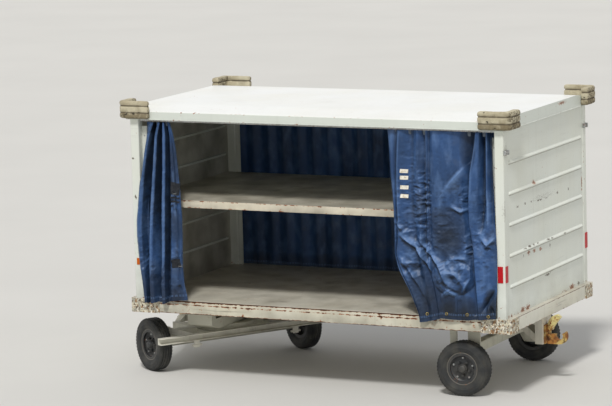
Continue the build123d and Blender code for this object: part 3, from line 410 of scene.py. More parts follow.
    dull = put(tree, "ShaderNodeMath", (splash, cloud), operation="ADD")
    dull = put(tree, "ShaderNodeMath", (chip, dull), operation="MAXIMUM")
    rough = put(tree, "ShaderNodeMapRange", (dull, 0.0, 1.0, gloss, 0.9))
    brush = put(tree, "ShaderNodeTexNoise", {"Vector": place, "Scale": 110.0, "Detail": 3.0})
    skin = put(tree, "ShaderNodeMath", (brush, 0.25, 1.0), operation="MULTIPLY_ADD")
    skin = put(tree, "ShaderNodeMath", (skin, chip), operation="SUBTRACT")
    surface_of(tree, shader, colour, rough, skin, 0.0012, 0.45)
    return material


def battered_plate(name, colours):
    """Guard plate that takes every knock: cream enamel flaked to grey primer, rust and bare dark steel.

    The flakes are 3 to 12 mm across.
    """
    material, tree, shader, place = new_material(name)
    primer = patches(tree, place, 36.0, 0.46, 0.54, detail=5.0, top=0.8)
    rust = patches(tree, place, 46.0, 0.51, 0.58, detail=6.0, top=0.85)
    bare = patches(tree, place, 60.0, 0.57, 0.61, detail=6.0, top=0.9)
    left = patches(tree, place, 50.0, 0.58, 0.62, detail=5.0, top=0.9)
    layers = [(primer, linear("#9C9A8E")), (rust, linear("#8E6436")), (bare, linear(colours.old_rust))]
    colour = layered(tree, linear("#D2CBB4"), layers + [(left, linear("#F0ECE0"))])
    flaked = put(tree, "ShaderNodeMath", (primer, bare), operation="ADD")
    skin = put(tree, "ShaderNodeMath", (1.0, flaked), operation="SUBTRACT")
    surface_of(tree, shader, colour, 0.72, skin, 0.0014, 0.6)
    return material


def coated_cloth(name, colours):
    """Polyester scrim coated with PVC, as on curtain-sided trailers.

    A low waxy gloss that runs along each fold, paler where it is rubbed and dusty in places, with painted
    shade in its creases. The scrim's threads and the hem's two rows of stitches are drawn larger than
    life, 6 mm apart and 15 mm long, so that they show. The tone attribute says where it is darkened, by
    painted shade in its hollows and on its steep flanks and by dark patches that are partly grime and
    partly painted shade, and the other attribute where it carries painted highlights on its crests and on
    facets that face the light. What faces up carries a painted highlight, what faces down painted shade.
    """
    material, tree, shader, place = new_material(name)
    navy = linear(colours.curtain)
    deep = shaded(navy, (0.40, 0.39, 0.36))
    pale = shaded(navy, (2.9, 2.2, 1.7), (0.03, 0.03, 0.04))
    shade = patches(tree, place, 5.0, 0.32, 0.66, stretch=(1, 1, 0.35), detail=6.0, top=0.75)
    rubbed = patches(tree, place, 15.0, 0.46, 0.72, stretch=(1, 1, 0.5), detail=8.0, top=0.45)
    dust = patches(tree, place, 9.0, 0.55, 0.80, detail=9.0, top=0.12)

    # Painted highlight on what faces up, painted shade on what faces down
    facing = looking(tree, "Z")
    painted_highlight_up = put(tree, "ShaderNodeMapRange", (facing, 0.12, 0.70, 0.0, 0.75))
    painted_shade_down = put(tree, "ShaderNodeMapRange", (facing, -0.06, -0.45, 0.0, 0.75))
    slate = linear("#161B21")
    # The cloth's two attributes: painted highlights on its crests and lit facets, and painted shade in its
    # hollows with dark patches that are partly grime
    crest = put(tree, "ShaderNodeAttribute", out="Fac", attribute_name="rub")
    painted_shade_and_grime = put(tree, "ShaderNodeAttribute", out="Fac", attribute_name="tone")
    blotch = patches(tree, place, 12.0, 0.30, 0.62, detail=7.0)
    blotch = put(tree, "ShaderNodeMapRange", (blotch, 0.0, 1.0, 0.84, 1.0))
    painted_shade_and_grime = put(tree, "ShaderNodeMath", (painted_shade_and_grime, blotch), operation="MULTIPLY")

    flat = put(tree, "ShaderNodeUVMap")
    along = put(tree, "ShaderNodeSeparateXYZ", (flat,), out="X")
    up = put(tree, "ShaderNodeSeparateXYZ", (flat,), out="Y")
    dash = put(tree, "ShaderNodeMath", (along, 0.011), operation="PINGPONG")
    dash = put(tree, "ShaderNodeMath", (dash, 0.0035), operation="GREATER_THAN")
    row = put(tree, "ShaderNodeMath", (up, 0.035, 0.0016), operation="COMPARE")
    second = put(tree, "ShaderNodeMath", (up, 0.043, 0.0016), operation="COMPARE")
    row = put(tree, "ShaderNodeMath", (row, second), operation="MAXIMUM")
    stitch = put(tree, "ShaderNodeMath", (row, dash), operation="MULTIPLY")
    thread = put(tree, "ShaderNodeMath", (stitch, 0.6), operation="MULTIPLY")
    # The slate layers are painted shade; the pale layers from what faces up and from the crests are painted
    # highlights
    layers = [(shade, deep), (rubbed, pale), (dust, linear("#8A8675")), (painted_highlight_up, pale)]
    layers += [(painted_shade_down, slate), (painted_shade_and_grime, slate), (crest, pale), (thread, pale)]
    colour = layered(tree, navy, layers)

    weft = put(tree, "ShaderNodeMath", (along, 0.003), operation="PINGPONG")
    warp = put(tree, "ShaderNodeMath", (up, 0.003), operation="PINGPONG")
    weave = put(tree, "ShaderNodeMath", (weft, warp), operation="ADD")
    crush = put(tree, "ShaderNodeTexNoise", {"Vector": place, "Scale": 30.0, "Detail": 5.0})
    skin = put(tree, "ShaderNodeMath", (weave, 60.0, crush), operation="MULTIPLY_ADD")
    skin = put(tree, "ShaderNodeMath", (stitch, 0.5, skin), operation="MULTIPLY_ADD")
    surface_of(tree, shader, colour, 0.40, skin, 0.0022, 0.45)
    shader.inputs["Specular IOR Level"].default_value = 0.3
    return material


def webbing(name, tint):
    """Woven polyester webbing: fine ribs across it, dull and fluffed."""
    material, tree, shader, place = new_material(name)
    flat = put(tree, "ShaderNodeUVMap")
    ribs = put(tree, "ShaderNodeTexWave", {"Vector": flat, "Scale": 160.0}, bands_direction="Y")
    tone = linear(tint)
    worn = shaded(tone, (1.8,) * 3, (0.02,) * 3)
    fluff = patches(tree, place, 40.0, 0.45, 0.70, detail=7.0, top=0.5)
    colour = layered(tree, tone, [(fluff, worn)])
    surface_of(tree, shader, colour, 0.85, ribs, 0.0008, 0.6)
    return material


def tyre_rubber(name, colours):
    """Carbon-black tyre rubber: matt, grey with dust on its tread and brown in its grooves."""
    material, tree, shader, place = new_material(name)
    dust = patches(tree, place, 11.0, 0.40, 0.74, detail=9.0, top=0.40)
    mud = patches(tree, place, 26.0, 0.56, 0.72, detail=6.0, top=0.30)
    layers = [(dust, linear("#6B685F")), (mud, linear("#4A4238"))]
    colour = layered(tree, linear(colours.rubber), layers)
    grain = put(tree, "ShaderNodeTexNoise", {"Vector": place, "Scale": 260.0, "Detail": 4.0})
    surface_of(tree, shader, colour, 0.80, grain, 0.0006)
    return material


def dusty_enamel(name, paint, colours):
    """Stove enamel on a pressed wheel, dulled by brake and road dust, flaked to rust in spots."""
    material, tree, shader, place = new_material(name)
    dust = patches(tree, place, 13.0, 0.40, 0.72, detail=8.0, top=0.42)
    flake = patches(tree, place, 55.0, 0.67, 0.71, detail=5.0, top=0.8)
    colour = layered(tree, linear(paint), [(dust, linear("#66625A")), (flake, linear(colours.rust))])
    grain = put(tree, "ShaderNodeTexNoise", {"Vector": place, "Scale": 150.0, "Detail": 4.0})
    surface_of(tree, shader, colour, 0.50, grain, 0.0005)
    return material


def dirty_rubber(name, colours):
    """Moulded bumper rubber, bleached by the sun, smeared with dirt and torn dark at its corners."""
    material, tree, shader, place = new_material(name)
    smear = patches(tree, place, 15.0, 0.48, 0.68, detail=9.0, top=0.55)
    bleach_and_painted_highlight = patches(tree, place, 8.0, 0.40, 0.60, detail=6.0, top=0.75)
    tear = patches(tree, place, 22.0, 0.64, 0.68, stretch=(1, 1, 1.6), detail=7.0, top=0.9)
    height = put(tree, "ShaderNodeSeparateXYZ", (place,), out="Z")
    low = put(tree, "ShaderNodeMapRange", (height, 2.048, 2.036, 0.0, 0.75))
    mottle = patches(tree, place, 24.0, 0.25, 0.50, detail=8.0)
    low = put(tree, "ShaderNodeMath", (low, mottle), operation="MULTIPLY")
    layers = [(bleach_and_painted_highlight, linear("#CFC8AE")), (smear, linear("#85795F")), (low, linear("#6B5E42"))]
    # A dark line painted along each groove, as painted shade
    for groove in BUMPER_GROOVES:
        away = off_level(tree, height, groove)
        away = put(tree, "ShaderNodeMath", (mottle, -0.004, away), operation="MULTIPLY_ADD")
        line = put(tree, "ShaderNodeMapRange", (away, 0.004, 0.000, 0.0, 0.8))
        layers.append((line, linear("#4A4030")))

    # The ends are scraped rough, and pitted
    facing = put(tree, "ShaderNodeMath", (looking(tree, "X"),), operation="ABSOLUTE")
    scraped = put(tree, "ShaderNodeMapRange", (facing, 0.45, 0.75, 0.0, 1.0))
    pits = patches(tree, place, 58.0, 0.50, 0.56, detail=6.0, top=0.75)
    pits = put(tree, "ShaderNodeMath", (scraped, pits), operation="MULTIPLY")
    layers += [(pits, linear("#544834")), (tear, linear("#2E2922"))]
    colour = layered(tree, linear(colours.bumper), layers)
    grain = put(tree, "ShaderNodeTexNoise", {"Vector": place, "Scale": 90.0, "Detail": 8.0})
    lumps = put(tree, "ShaderNodeMath", (grain, tear), operation="SUBTRACT")
    lumps = put(tree, "ShaderNodeMath", (lumps, pits), operation="SUBTRACT")
    surface_of(tree, shader, colour, 0.88, lumps, 0.006, 0.8)
    return material


def rusted_iron(name, colours):
    """A rough iron casting, brown with old rust, orange where it is fresh, under the last of its yellow."""
    material, tree, shader, place = new_material(name)
    fresh = patches(tree, place, 36.0, 0.40, 0.60, detail=8.0)
    bright = patches(tree, place, 16.0, 0.47, 0.56, detail=6.0, top=0.9)
    dark = patches(tree, place, 28.0, 0.56, 0.66, detail=6.0, top=0.8)
    layers = [(fresh, linear("#A87438")), (bright, linear("#D2BA74")), (dark, linear(colours.old_rust))]
    colour = layered(tree, linear("#764824"), layers)
    grain = put(tree, "ShaderNodeTexNoise", {"Vector": place, "Scale": 180.0, "Detail": 8.0})
    surface_of(tree, shader, colour, 0.86, grain, 0.0015, 0.8)
    return material


def zinc_plate(name, rusty=0.0):
    """Zinc-plated steel, dull and faintly spangled, with dust and a share of rust."""
    material, tree, shader, place = new_material(name)
    spangle = put(tree, "ShaderNodeTexVoronoi", {"Vector": place, "Scale": 90.0}, out="Distance")
    light, dark = linear("#BCBEBC"), linear("#8E9292")
    tone = put(tree, "ShaderNodeValToRGB", (spangle,), ramp=((0.1, dark), (0.8, light)))
    dust = patches(tree, place, 14.0, 0.48, 0.72, detail=8.0, top=0.5)
    spots = patches(tree, place, 60.0, 0.52, 0.62, detail=6.0, top=rusty)
    colour = layered(tree, tone, [(dust, linear("#6B6659")), (spots, linear("#7A4421"))])
    surface_of(tree, shader, colour, 0.45, spangle, 0.0002)
    shader.inputs["Metallic"].default_value = 0.8
    return material


def lens_plastic(name, tint):
    """A moulded acrylic reflector: clear gloss over rows of tiny prisms, 4 mm apart."""
    material, tree, shader, place = new_material(name)
    prisms = put(tree, "ShaderNodeTexVoronoi", {"Vector": place, "Scale": 250.0}, out="Distance")
    tone = linear(tint)
    dark = shaded(tone, (0.55,) * 3)
    colour = put(tree, "ShaderNodeValToRGB", (prisms,), ramp=((0.0, tone), (0.8, dark)))
    surface_of(tree, shader, colour, 0.35, prisms, 0.0006, 0.5)
    shader.inputs["Specular IOR Level"].default_value = 0.2
    shader.inputs["Coat Weight"].default_value = 0.15
    return material


def reflective_tape(name):
    """Sewn reflective tape: glass beads in a pale grey backing, in 3 mm cells, scuffed and yellowed."""
    material, tree, shader, place = new_material(name)
    cells = put(tree, "ShaderNodeTexVoronoi", {"Vector": place, "Scale": 330.0}, out="Distance")
    worn = patches(tree, place, 60.0, 0.50, 0.66, detail=6.0, top=0.6)
    colour = layered(tree, linear("#F0EBDD"), [(worn, linear("#B5A07C"))])
    surface_of(tree, shader, colour, 0.35, cells, 0.0005)
    return material


def bright_brass(name):
    """Pressed brass eyelets, tarnished in their creases."""
    material, tree, shader, place = new_material(name)
    tarnish = patches(tree, place, 90.0, 0.42, 0.62, detail=5.0, top=0.8)
    colour = layered(tree, linear("#B9A468"), [(tarnish, linear("#5E5232"))])
    grain = put(tree, "ShaderNodeTexNoise", {"Vector": place, "Scale": 400.0})
    surface_of(tree, shader, colour, 0.35, grain, 0.0002)
    shader.inputs["Metallic"].default_value = 1.0
    return material


def floor_paint(name, tint):
    """A plain pale studio floor: matt paint, barely mottled."""
    material, tree, shader, place = new_material(name)
    tone = linear(tint)
    soft = shaded(tone, (0.96,) * 3)
    mottle = patches(tree, place, 0.6, 0.3, 0.7)
    grain = put(tree, "ShaderNodeTexNoise", {"Vector": place, "Scale": 60.0})
    surface_of(tree, shader, layered(tree, tone, [(mottle, soft)]), 0.9, grain, 0.0003)
    return material


def start_fresh():
    """Object mode with nothing selected."""
    if bpy.context.object and bpy.context.object.mode != "OBJECT":
        bpy.ops.object.mode_set(mode="OBJECT")
    bpy.ops.object.select_all(action="DESELECT")


def pick(test, kind="face"):
    """In edit mode, selects the faces or the edges that pass the test, and nothing else."""
    bpy.ops.mesh.select_mode(type=kind.upper())
    bpy.ops.mesh.select_all(action="DESELECT")
    mesh = bmesh.from_edit_mesh(bpy.context.object.data)
    for part in mesh.faces if kind == "face" else mesh.edges:
        part.select_set(bool(test(part)))
    bmesh.update_edit_mesh(bpy.context.object.data)


def tidy_shell(smooth=35):
    """In edit mode, merges doubles and turns the faces outwards, then shades the object by its angles."""
    bpy.ops.mesh.select_all(action="SELECT")
    bpy.ops.mesh.remove_doubles(threshold=0.00005)
    bpy.ops.mesh.normals_make_consistent(inside=False)
    bpy.ops.object.mode_set(mode="OBJECT")
    bpy.ops.object.shade_smooth_by_angle(angle=radians(smooth))


def place_in_mesh(piece, matrix=None):
    """Puts the piece's place into its mesh, so that its object stands at the origin."""
    piece.data.transform((matrix or Matrix()) @ piece.matrix_basis)
    piece.matrix_basis = Matrix()
    return piece


def joined(pieces):
    """Joins the pieces into the first of them."""
    start_fresh()
    for piece in pieces:
        piece.select_set(True)
    bpy.context.view_layer.objects.active = pieces[0]
    if len(pieces) > 1:
        bpy.ops.object.join()
    return pieces[0]


def settle(piece, name, material, body):
    """Names a finished piece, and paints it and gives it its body."""
    piece.name = piece.data.name = name
    piece.data.materials.clear()
    piece.data.materials.append(material)
    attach(piece, body)
    return piece


def copies(model, matrices, name, material, body):
    """Copies the model to each place, each with its own mesh, and settles them as one piece."""
    made = []
    for matrix in matrices:
        one = model.copy()
        one.data = model.data.copy()
        bpy.context.collection.objects.link(one)
        made.append(place_in_mesh(one, matrix))
    return settle(joined(made), name, material, body)


def spun(name, profile, steps):
    """A closed profile of (radius, along) points, spun round the Y axis into a closed ring."""
    start_fresh()
    bpy.ops.mesh.primitive_circle_add(vertices=len(profile), radius=0.1)
    ring = bpy.context.object
    for vertex, (radius, along) in zip(ring.data.vertices, profile):
        vertex.co = (radius, along, 0.0)
    bpy.ops.object.mode_set(mode="EDIT")
    bpy.ops.mesh.select_all(action="SELECT")
    bpy.ops.mesh.spin(steps=steps, angle=2 * pi, center=(0, 0, 0), axis=(0, 1, 0))
    ring.name = name
    return ring


def rod(radius, length, middle, sides, turn=(pi / 2, 0, 0)):
    """A cylinder along Y, or turned, with its place in its mesh, left in edit mode."""
    start_fresh()
    bpy.ops.mesh.primitive_cylinder_add(
        vertices=sides, radius=radius, depth=length, location=middle, rotation=turn
    )
    piece = place_in_mesh(bpy.context.object)
    bpy.ops.object.mode_set(mode="EDIT")
    return piece


def hexagon(width, depth, middle, rounding, shoulder, stub):
    """A hexagon nut or head round the Y axis that points along -Y, rounded, with a stub on its end."""
    piece = rod(width / sqrt(3), depth, (0, middle, 0), 6)
    end = middle - depth / 2 + 0.0005
    pick(lambda e: all(v.co.y < end for v in e.verts), "edge")
    bpy.ops.mesh.bevel(offset=rounding, segments=2, affect="EDGES")
    pick(lambda f: f.normal.y < -0.9 and f.calc_area() > width**2 / 5)
    bpy.ops.mesh.inset(thickness=shoulder)
    bpy.ops.mesh.extrude_region_move(TRANSFORM_OT_translate={"value": (0, -stub, 0)})
    tidy_shell(30)
    return piece


def wheel_places():
    """Where each wheel stands: its own -Y faces outwards."""
    places = {}
    for name in WHEELS:
        low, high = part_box(f"tyre_{name}")
        centre = (Vector(low) + Vector(high)) / 2
        turn = AXLE_STEER if name.startswith("front") else 0.0
        if name.endswith("far"):
            turn += pi
        places[name] = Matrix.Translation(centre) @ Matrix.Rotation(turn, 4, "Z")
    return places


def cart_finishes(colours):
    """Every finish that the frame's own pieces wear."""
    body = colours.body
    panel_marks = [
        (kind, (PANEL_X, y, z), (0.05, wide, high)) for kind, y, z, wide, high in PANEL_MARKS
    ]
    return {
        "roof": weathered_enamel(
            "Roof enamel", colours.roof, colours, edges=((EAVES, 0.010, 0.10), (ROOF_FOOT, 0.008, 0.09)),
            chips=0.10, foot=(1.99, 0.03, 0.15), film=0.05, streaks=0.05, scuffs=0.06, gloss=0.33,
            # The roof's upright faces are painted darker than its crown, as painted shade
            upright="#D9DFD7", marks=ROOF_MARKS,
        ),
        "post": weathered_enamel(
            "Post enamel", body, colours, edges=((DECK, 0.05, 0.14),), chips=0.22,
            foot=(0.61, 0.45, 0.30), film=0.06, streaks=0.06, scuffs=0.14, marks=POST_MARKS,
        ),
        "end_panel": weathered_enamel(
            "Panel enamel", body, colours, edges=((DECK, 0.04, 0.15),), chips=0.10,
            foot=(0.61, 0.25, 0.16), film=0.07, streaks=0.07, scuffs=0.08, inside=("X", 1.5205),
            # The ribs' lower flanks are painted darker, as painted shade
            under=0.5, marks=panel_marks,
        ),
        "roof_frame": weathered_enamel(
            "Roof frame enamel", body, colours, film=0.25, streaks=0.1, scuffs=0.2, inside=("Y", 0.83)
        ),
        "shelf": weathered_enamel(
            "Shelf enamel", "#DDD6C3", colours,
            edges=((SHELF_TOP, 0.014, 0.17), (SHELF_FOOT, 0.010, 0.12)),
            chips=0.35, foot=(1.31, 0.07, 0.45), film=0.45, streaks=0.1, scuffs=0.7,
            inside=("Y", 0.7515),
        ),
        "deck": weathered_enamel(
            "Deck enamel", "#CFCBBE", colours, chips=0.40, foot=(0.5, 0.3, 0.35), film=0.45,
            streaks=0.1, scuffs=0.8,
        ),
        "side_rail": weathered_enamel(
            "Rail enamel", colours.rail, colours,
            edges=((RAIL_TOP, 0.024, 0.42), (RAIL_LIP, 0.010, 0.20), (RAIL_FOOT, 0.012, 0.30)),
            chips=0.65, foot=(0.50, 0.12, 0.50), film=0.55, streaks=0.15, scuffs=0.6,
        ),
        "end_rail": weathered_enamel(
            "End rail enamel", "#E0DFD2", colours,
            edges=((RAIL_TOP, 0.010, 0.50), (RAIL_FOOT, 0.010, 0.20)),
            chips=0.55, foot=(0.50, 0.10, 0.25), film=0.22, streaks=0.08, scuffs=0.25,
        ),
        "corner_guards": battered_plate("Guard plate", colours),
        "under": weathered_enamel(
            "Underframe enamel", colours.inside, colours, chips=0.5, foot=(0.4, 0.4, 0.7), film=0.5
        ),
        "gear": weathered_enamel(
            "Running gear enamel", colours.gear, colours, chips=0.45, foot=(0.18, 0.25, 0.45),
            film=0.30, streaks=0.2, scuffs=0.4, gloss=0.55,
        ),
        "hitch": weathered_enamel(
            "Hitch enamel", "#DEDBCF", colours, chips=0.45, foot=(0.26, 0.20, 0.30), film=0.22,
            scuffs=0.4,
        ),
        "brake_bar": weathered_enamel(
            "Brake bar enamel", "#E9E7DB", colours, chips=0.45, foot=(0.20, 0.12, 0.30), film=0.20,
            scuffs=0.4, gloss=0.5,
        ),
        "jaw": weathered_enamel(
            "Jaw enamel", "#DDD08E", colours, chips=1.05, foot=(0.30, 0.25, 0.35), film=0.25, scuffs=0.5
        ),
        "drawbar": weathered_enamel(
            "Drawbar enamel", colours.drawbar, colours, chips=0.95, foot=(0.2, 0.3, 0.5), film=0.30
        ),
        "track": zinc_plate("Galvanised track", rusty=0.3),
        "bumper": dirty_rubber("Bumper rubber", colours),
        "amber": lens_plastic("Amber reflector", "#E8730F"),
        "red": lens_plastic("Red reflector", "#D8061C"),
        "iron": rusted_iron("Rusted hook iron", colours),
        "disc": dusty_enamel("Wheel disc enamel", colours.disc, colours),
    }


class CART_OT_paint(bpy.types.Operator):
    """Paint the frame, the body, the roof and the running gear"""

    bl_idname = "cart.paint"
    bl_label = "Paint the cart"

    def execute(self, context):
        finishes = cart_finishes(context.scene.cart_colours)
        for name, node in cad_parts.items():
            finish = next((f for start, f in WEARERS if name.startswith(start)), None)
            if finish is None:
                continue
            for at in range(len(node.data.materials)):
                node.data.materials[at] = finishes[finish]
            if not node.data.materials:
                node.data.materials.append(finishes[finish])
        return {"FINISHED"}


class CART_OT_bumpers(bpy.types.Operator):
    """Mould the four roof bumpers as soft worn rubber blocks"""

    bl_idname = "cart.bumpers"
    bl_label = "Mould the roof bumpers"

    def execute(self, context):
        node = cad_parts["roof_bumpers"]
        start_fresh()
        block = node.copy()
        block.data = node.data.copy()
        context.collection.objects.link(block)
        block.select_set(True)
        context.view_layer.objects.active = block
        bpy.ops.object.mode_set(mode="EDIT")
        bpy.ops.mesh.select_all(action="SELECT")
        bpy.ops.mesh.remove_doubles(threshold=0.00005)
        bpy.ops.object.mode_set(mode="OBJECT")
        dents = bpy.data.textures.new("Bumper dents", "CLOUDS")
        dents.noise_scale = 0.06
        dents.noise_depth = 3
        for kind, settings in (
            ("REMESH", {"mode": "VOXEL", "voxel_size": 0.006}),
            ("SMOOTH", {"factor": 0.6, "iterations": 2}),
            (
                "DISPLACE",
                {"texture": dents, "strength": 0.006, "mid_level": 0.60, "texture_coords": "LOCAL"},
            ),
            ("SMOOTH", {"factor": 0.5, "iterations": 1}),
        ):
            bpy.ops.object.modifier_add(type=kind)
            modifier = block.modifiers[-1]
            for label, value in settings.items():
                setattr(modifier, label, value)
            bpy.ops.object.modifier_apply(modifier=modifier.name)
        low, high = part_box("roof_bumpers")
        half_groove, groove_depth = 0.010, 0.0045
        for vertex in block.data.vertices:
            level = min(abs(vertex.co.z - groove) for groove in BUMPER_GROOVES)
            if abs(vertex.normal.z) < 0.5 and level < half_groove:
                press = groove_depth * (1 - (level / half_groove) ** 2)
                vertex.co -= press * Vector((vertex.normal.x, vertex.normal.y, 0))
            vertex.co = [min(max(c, a), b) for c, a, b in zip(vertex.co, low, high)]
        bpy.ops.object.shade_smooth()
        settle(block, "moulded_roof_bumpers", node.data.materials[0], "chassis")
        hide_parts("roof_bumpers")
        return {"FINISHED"}


class CART_OT_tyres(bpy.types.Operator):
    """Model one tyre with its tread, and fit it to the four wheels"""

    bl_idname = "cart.tyres"
    bl_label = "Fit the tyres"

    def execute(self, context):
        sizes = context.scene.cart_sizes
        rubber = tyre_rubber("Tyre rubber", context.scene.cart_colours)
        deep, lug_height = sizes.groove, 0.0028
        # One half of the section: radius, distance from the middle plane
        half = [
            (0.1220, 0.0420), (0.1250, 0.0445), (0.1300, 0.0480), (0.1330, 0.0480), (0.1345, 0.0500),
            (0.1440, 0.0530), (0.1560, 0.0552), (0.1575, 0.0560), (0.1590, 0.0552), (0.1700, 0.0548),
            (0.1780, 0.0535), (0.1795, 0.0545), (0.1812, 0.0545), (0.1830, 0.0520), (0.1900, 0.0502),
            (0.1955, 0.0482), (0.1995, 0.0440), (0.2020, 0.0340), (0.2020 - deep, 0.0330),
            (0.2020 - deep, 0.0285), (0.2030, 0.0275), (0.2043, 0.0150), (0.2043 - deep, 0.0140),
            (0.2043 - deep, 0.0095), (0.2047, 0.0085),
        ]
        inner = [(0.1016, -0.036), (0.1016, 0.036)]
        profile = half + [(0.2050, 0.0)] + [(r, -a) for r, a in reversed(half)] + inner
        segments = 2 * sizes.lugs
        model = spun("tyre_model", profile, segments)
        tidy_shell()
        bpy.ops.object.mode_set(mode="EDIT")

        def is_lug(face):
            """Every second cell round the shoulder."""
            at = face.calc_center_median()
            radius = sqrt(at.x**2 + at.z**2)
            turn = (np.arctan2(at.z, at.x) % (2 * pi)) * segments / (2 * pi)
            return radius > 0.1925 and 0.035 < abs(at.y) < 0.0495 and int(turn) % 2

        pick(is_lug)
        bpy.ops.mesh.extrude_region_shrink_fatten(TRANSFORM_OT_shrink_fatten={"value": lug_height})
        bpy.ops.mesh.select_all(action="SELECT")
        bpy.ops.mesh.normals_make_consistent(inside=False)
        bpy.ops.object.mode_set(mode="OBJECT")
        bpy.ops.object.shade_smooth_by_angle(angle=radians(32))
        for name, place in wheel_places().items():
            tyre = copies(model, (place,), f"dressed_tyre_{name}", rubber, f"wheel_{name}")
            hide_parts(f"tyre_{name}")
        bpy.data.objects.remove(model)
        return {"FINISHED"}


class CART_OT_wheel_fittings(bpy.types.Operator):
    """Add the nuts, the rim bolts, the hub cap, the valve and the rim edge, painted lighter grey as a painted
    highlight, of every wheel
    """

    bl_idname = "cart.wheel_fittings"
    bl_label = "Fit the wheel nuts"

    def execute(self, context):
        sizes, colours = context.scene.cart_sizes, context.scene.cart_colours
        zinc = zinc_plate("Zinc-plated bolt", rusty=0.35)
        # The rim edge's lighter grey enamel is a painted highlight
        rim_painted_highlight = dusty_enamel("Highlighted rim enamel", "#66635C", colours)
        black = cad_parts["wheel_front_near"].data.materials[0]
        face = -0.016  # the disc's outer face, from the wheel's middle plane

        # A nut on its washer, with the stud's end through it
        nut = hexagon(sizes.nut_width, 0.014, face - 0.009, rounding=0.0022, shoulder=0.003, stub=0.007)
        washer = rod(0.017, 0.003, (0, face - 0.0012, 0), 24)
        pick(lambda e: all(v.co.y < face - 0.002 for v in e.verts), "edge")
        bpy.ops.mesh.bevel(offset=0.0008, segments=1, affect="EDGES")
        tidy_shell(30)
        nut = joined((nut, washer))

        # A bolt that joins the rim's halves
        bolt = hexagon(sizes.bolt_width, 0.011, face - 0.0045, rounding=0.0018, shoulder=0.0022, stub=0.003)

        # The cap over the bearing: a pressed dome with a rolled foot
        cap = spun(
            "cap_model",
            (
                (0.0015, -0.0585), (0.0120, -0.0580), (0.0215, -0.0560), (0.0272, -0.0515),
                (0.0292, -0.0450), (0.0300, -0.0400), (0.0325, -0.0385), (0.0355, -0.0390),
                (0.0370, -0.0405), (0.0370, -0.0360), (0.0015, -0.0360),
            ),
            48,
        )
        tidy_shell(50)

        # The valve: a rubber stem through the disc, with its cap
        valve = rod(0.0045, 0.036, (0, face - 0.016, 0), 14)
        pick(lambda f: f.normal.y < -0.9)
        bpy.ops.mesh.extrude_region_shrink_fatten(TRANSFORM_OT_shrink_fatten={"value": -0.0005})
        bpy.ops.transform.resize(value=(1.25, 1, 1.25), center_override=(0, face - 0.034, 0))
        bpy.ops.mesh.extrude_region_move(TRANSFORM_OT_translate={"value": (0, -0.009, 0)})
        bpy.ops.mesh.bevel(offset=0.0012, segments=2, affect="EDGES")
        tidy_shell(40)

        # The rolled edge of the rim, painted lighter grey as a painted highlight
        lip = spun(
            "lip_model",
            (
                (0.1222, -0.0405), (0.1222, -0.0430), (0.1205, -0.0446), (0.1178, -0.0446),
                (0.1158, -0.0430), (0.1150, -0.0405),
            ),
            72,
        )
        tidy_shell(50)

        circle, outer = [], []
        for at in range(sizes.wheel_nuts):
            turn = 2 * pi * at / sizes.wheel_nuts
            outer.append(Matrix.Rotation(turn, 4, "Y") @ Matrix.Translation((0, 0, sizes.bolt_circle)))
            turn += pi / sizes.wheel_nuts
            circle.append(Matrix.Rotation(turn, 4, "Y") @ Matrix.Translation((0, 0, sizes.nut_circle)))
        stem = Matrix.Rotation(1.45, 4, "Y") @ Matrix.Translation((0, 0, 0.087))
        fittings = (
            # model, its places on a wheel, start of the piece's name, material, slot
            (nut, circle, "wheel_nuts", black, "black_steel"),
            (bolt, outer, "rim_bolts", zinc, "galvanised_steel"),
            (cap, (Matrix(),), "hub_cap", black, "black_steel"),
            (valve, (stem,), "valve", black, "black_steel"),
            (lip, (Matrix(),), "rim_edge", rim_painted_highlight, "black_steel"),
        )
        for name, place in wheel_places().items():
            for model, spots, label, material, slot in fittings:
                places = [place @ spot for spot in spots]
                copies(model, places, f"{label}_{name}", material, f"wheel_{name}")
        for model, *_ in fittings:
            bpy.data.objects.remove(model)
        return {"FINISHED"}


def softened(line, reach):
    """A running average of the line over so many of its points each way, weighted to the middle."""
    kernel = np.hanning(2 * reach + 3)[1:-1]
    kernel /= kernel.sum()
    return np.convolve(np.pad(line, reach, mode="edge"), kernel, mode="valid")


def fold_line(levels, values, at):
    """A fold line's value at each height, with its corners rounded over nine heights each way."""
    order = np.argsort(levels)
    return softened(np.interp(at, np.array(levels)[order], np.array(values)[order]), 9)


def ridged(points, scale, seed, octaves=3):
    """Ridged noise from 0 to 1 at each point, for the creases of crumpled cloth."""
    values = np.empty(len(points))
    for at, (x, y, z) in enumerate(points):
        spot, total, share = Vector((x * scale + seed, y * scale, z * scale)), 0.0, 0.62
        for _ in range(octaves):
            total += share * (1.0 - abs(noise.noise(spot)) * 2.2)
            spot, share = spot * 2.03, share * 0.42
        values[at] = total
    return values


def stroke(x, z, path, width, height, lean=0.0):
    """A crease along a path of (x, z) points: its height at each place. lean makes one side steeper."""
    total = np.zeros_like(x)
    best = np.full_like(x, 9.0)
    for (ax, az), (bx, bz) in zip(path, path[1:]):
        length = sqrt((bx - ax) ** 2 + (bz - az) ** 2)
        ux, uz = (bx - ax) / length, (bz - az) / length
        along = np.clip((x - ax) * ux + (z - az) * uz, 0, length)
        away = np.hypot(x - ax - along * ux, z - az - along * uz)
        side = np.sign((x - ax) * uz - (z - az) * ux)
        reach = width * (1.0 + lean * side)
        fall = away / reach
        crest = height * np.clip(1.0 - fall, 0, None) ** 1.5 * (1.0 - 0.25 * fall.clip(0, 1))
        nearer = fall < best
        total = np.where(nearer, crest, total)
        best = np.minimum(best, fall)
    ends = (path[0], path[-1])
    taper = np.ones_like(x)
    for ex, ez in ends:
        taper *= 1.0 - 0.85 * np.exp(-((x - ex) ** 2 + (z - ez) ** 2) / (1.4 * width) ** 2)
    return total * taper


def patch(x, z, cx, cz, rx, rz):
    """1 in the middle of an oval, falling to 0 at its edge."""
    away = ((x - cx) / rx) ** 2 + ((z - cz) / rz) ** 2
    return np.clip(1.0 - away, 0, 1) ** 0.8


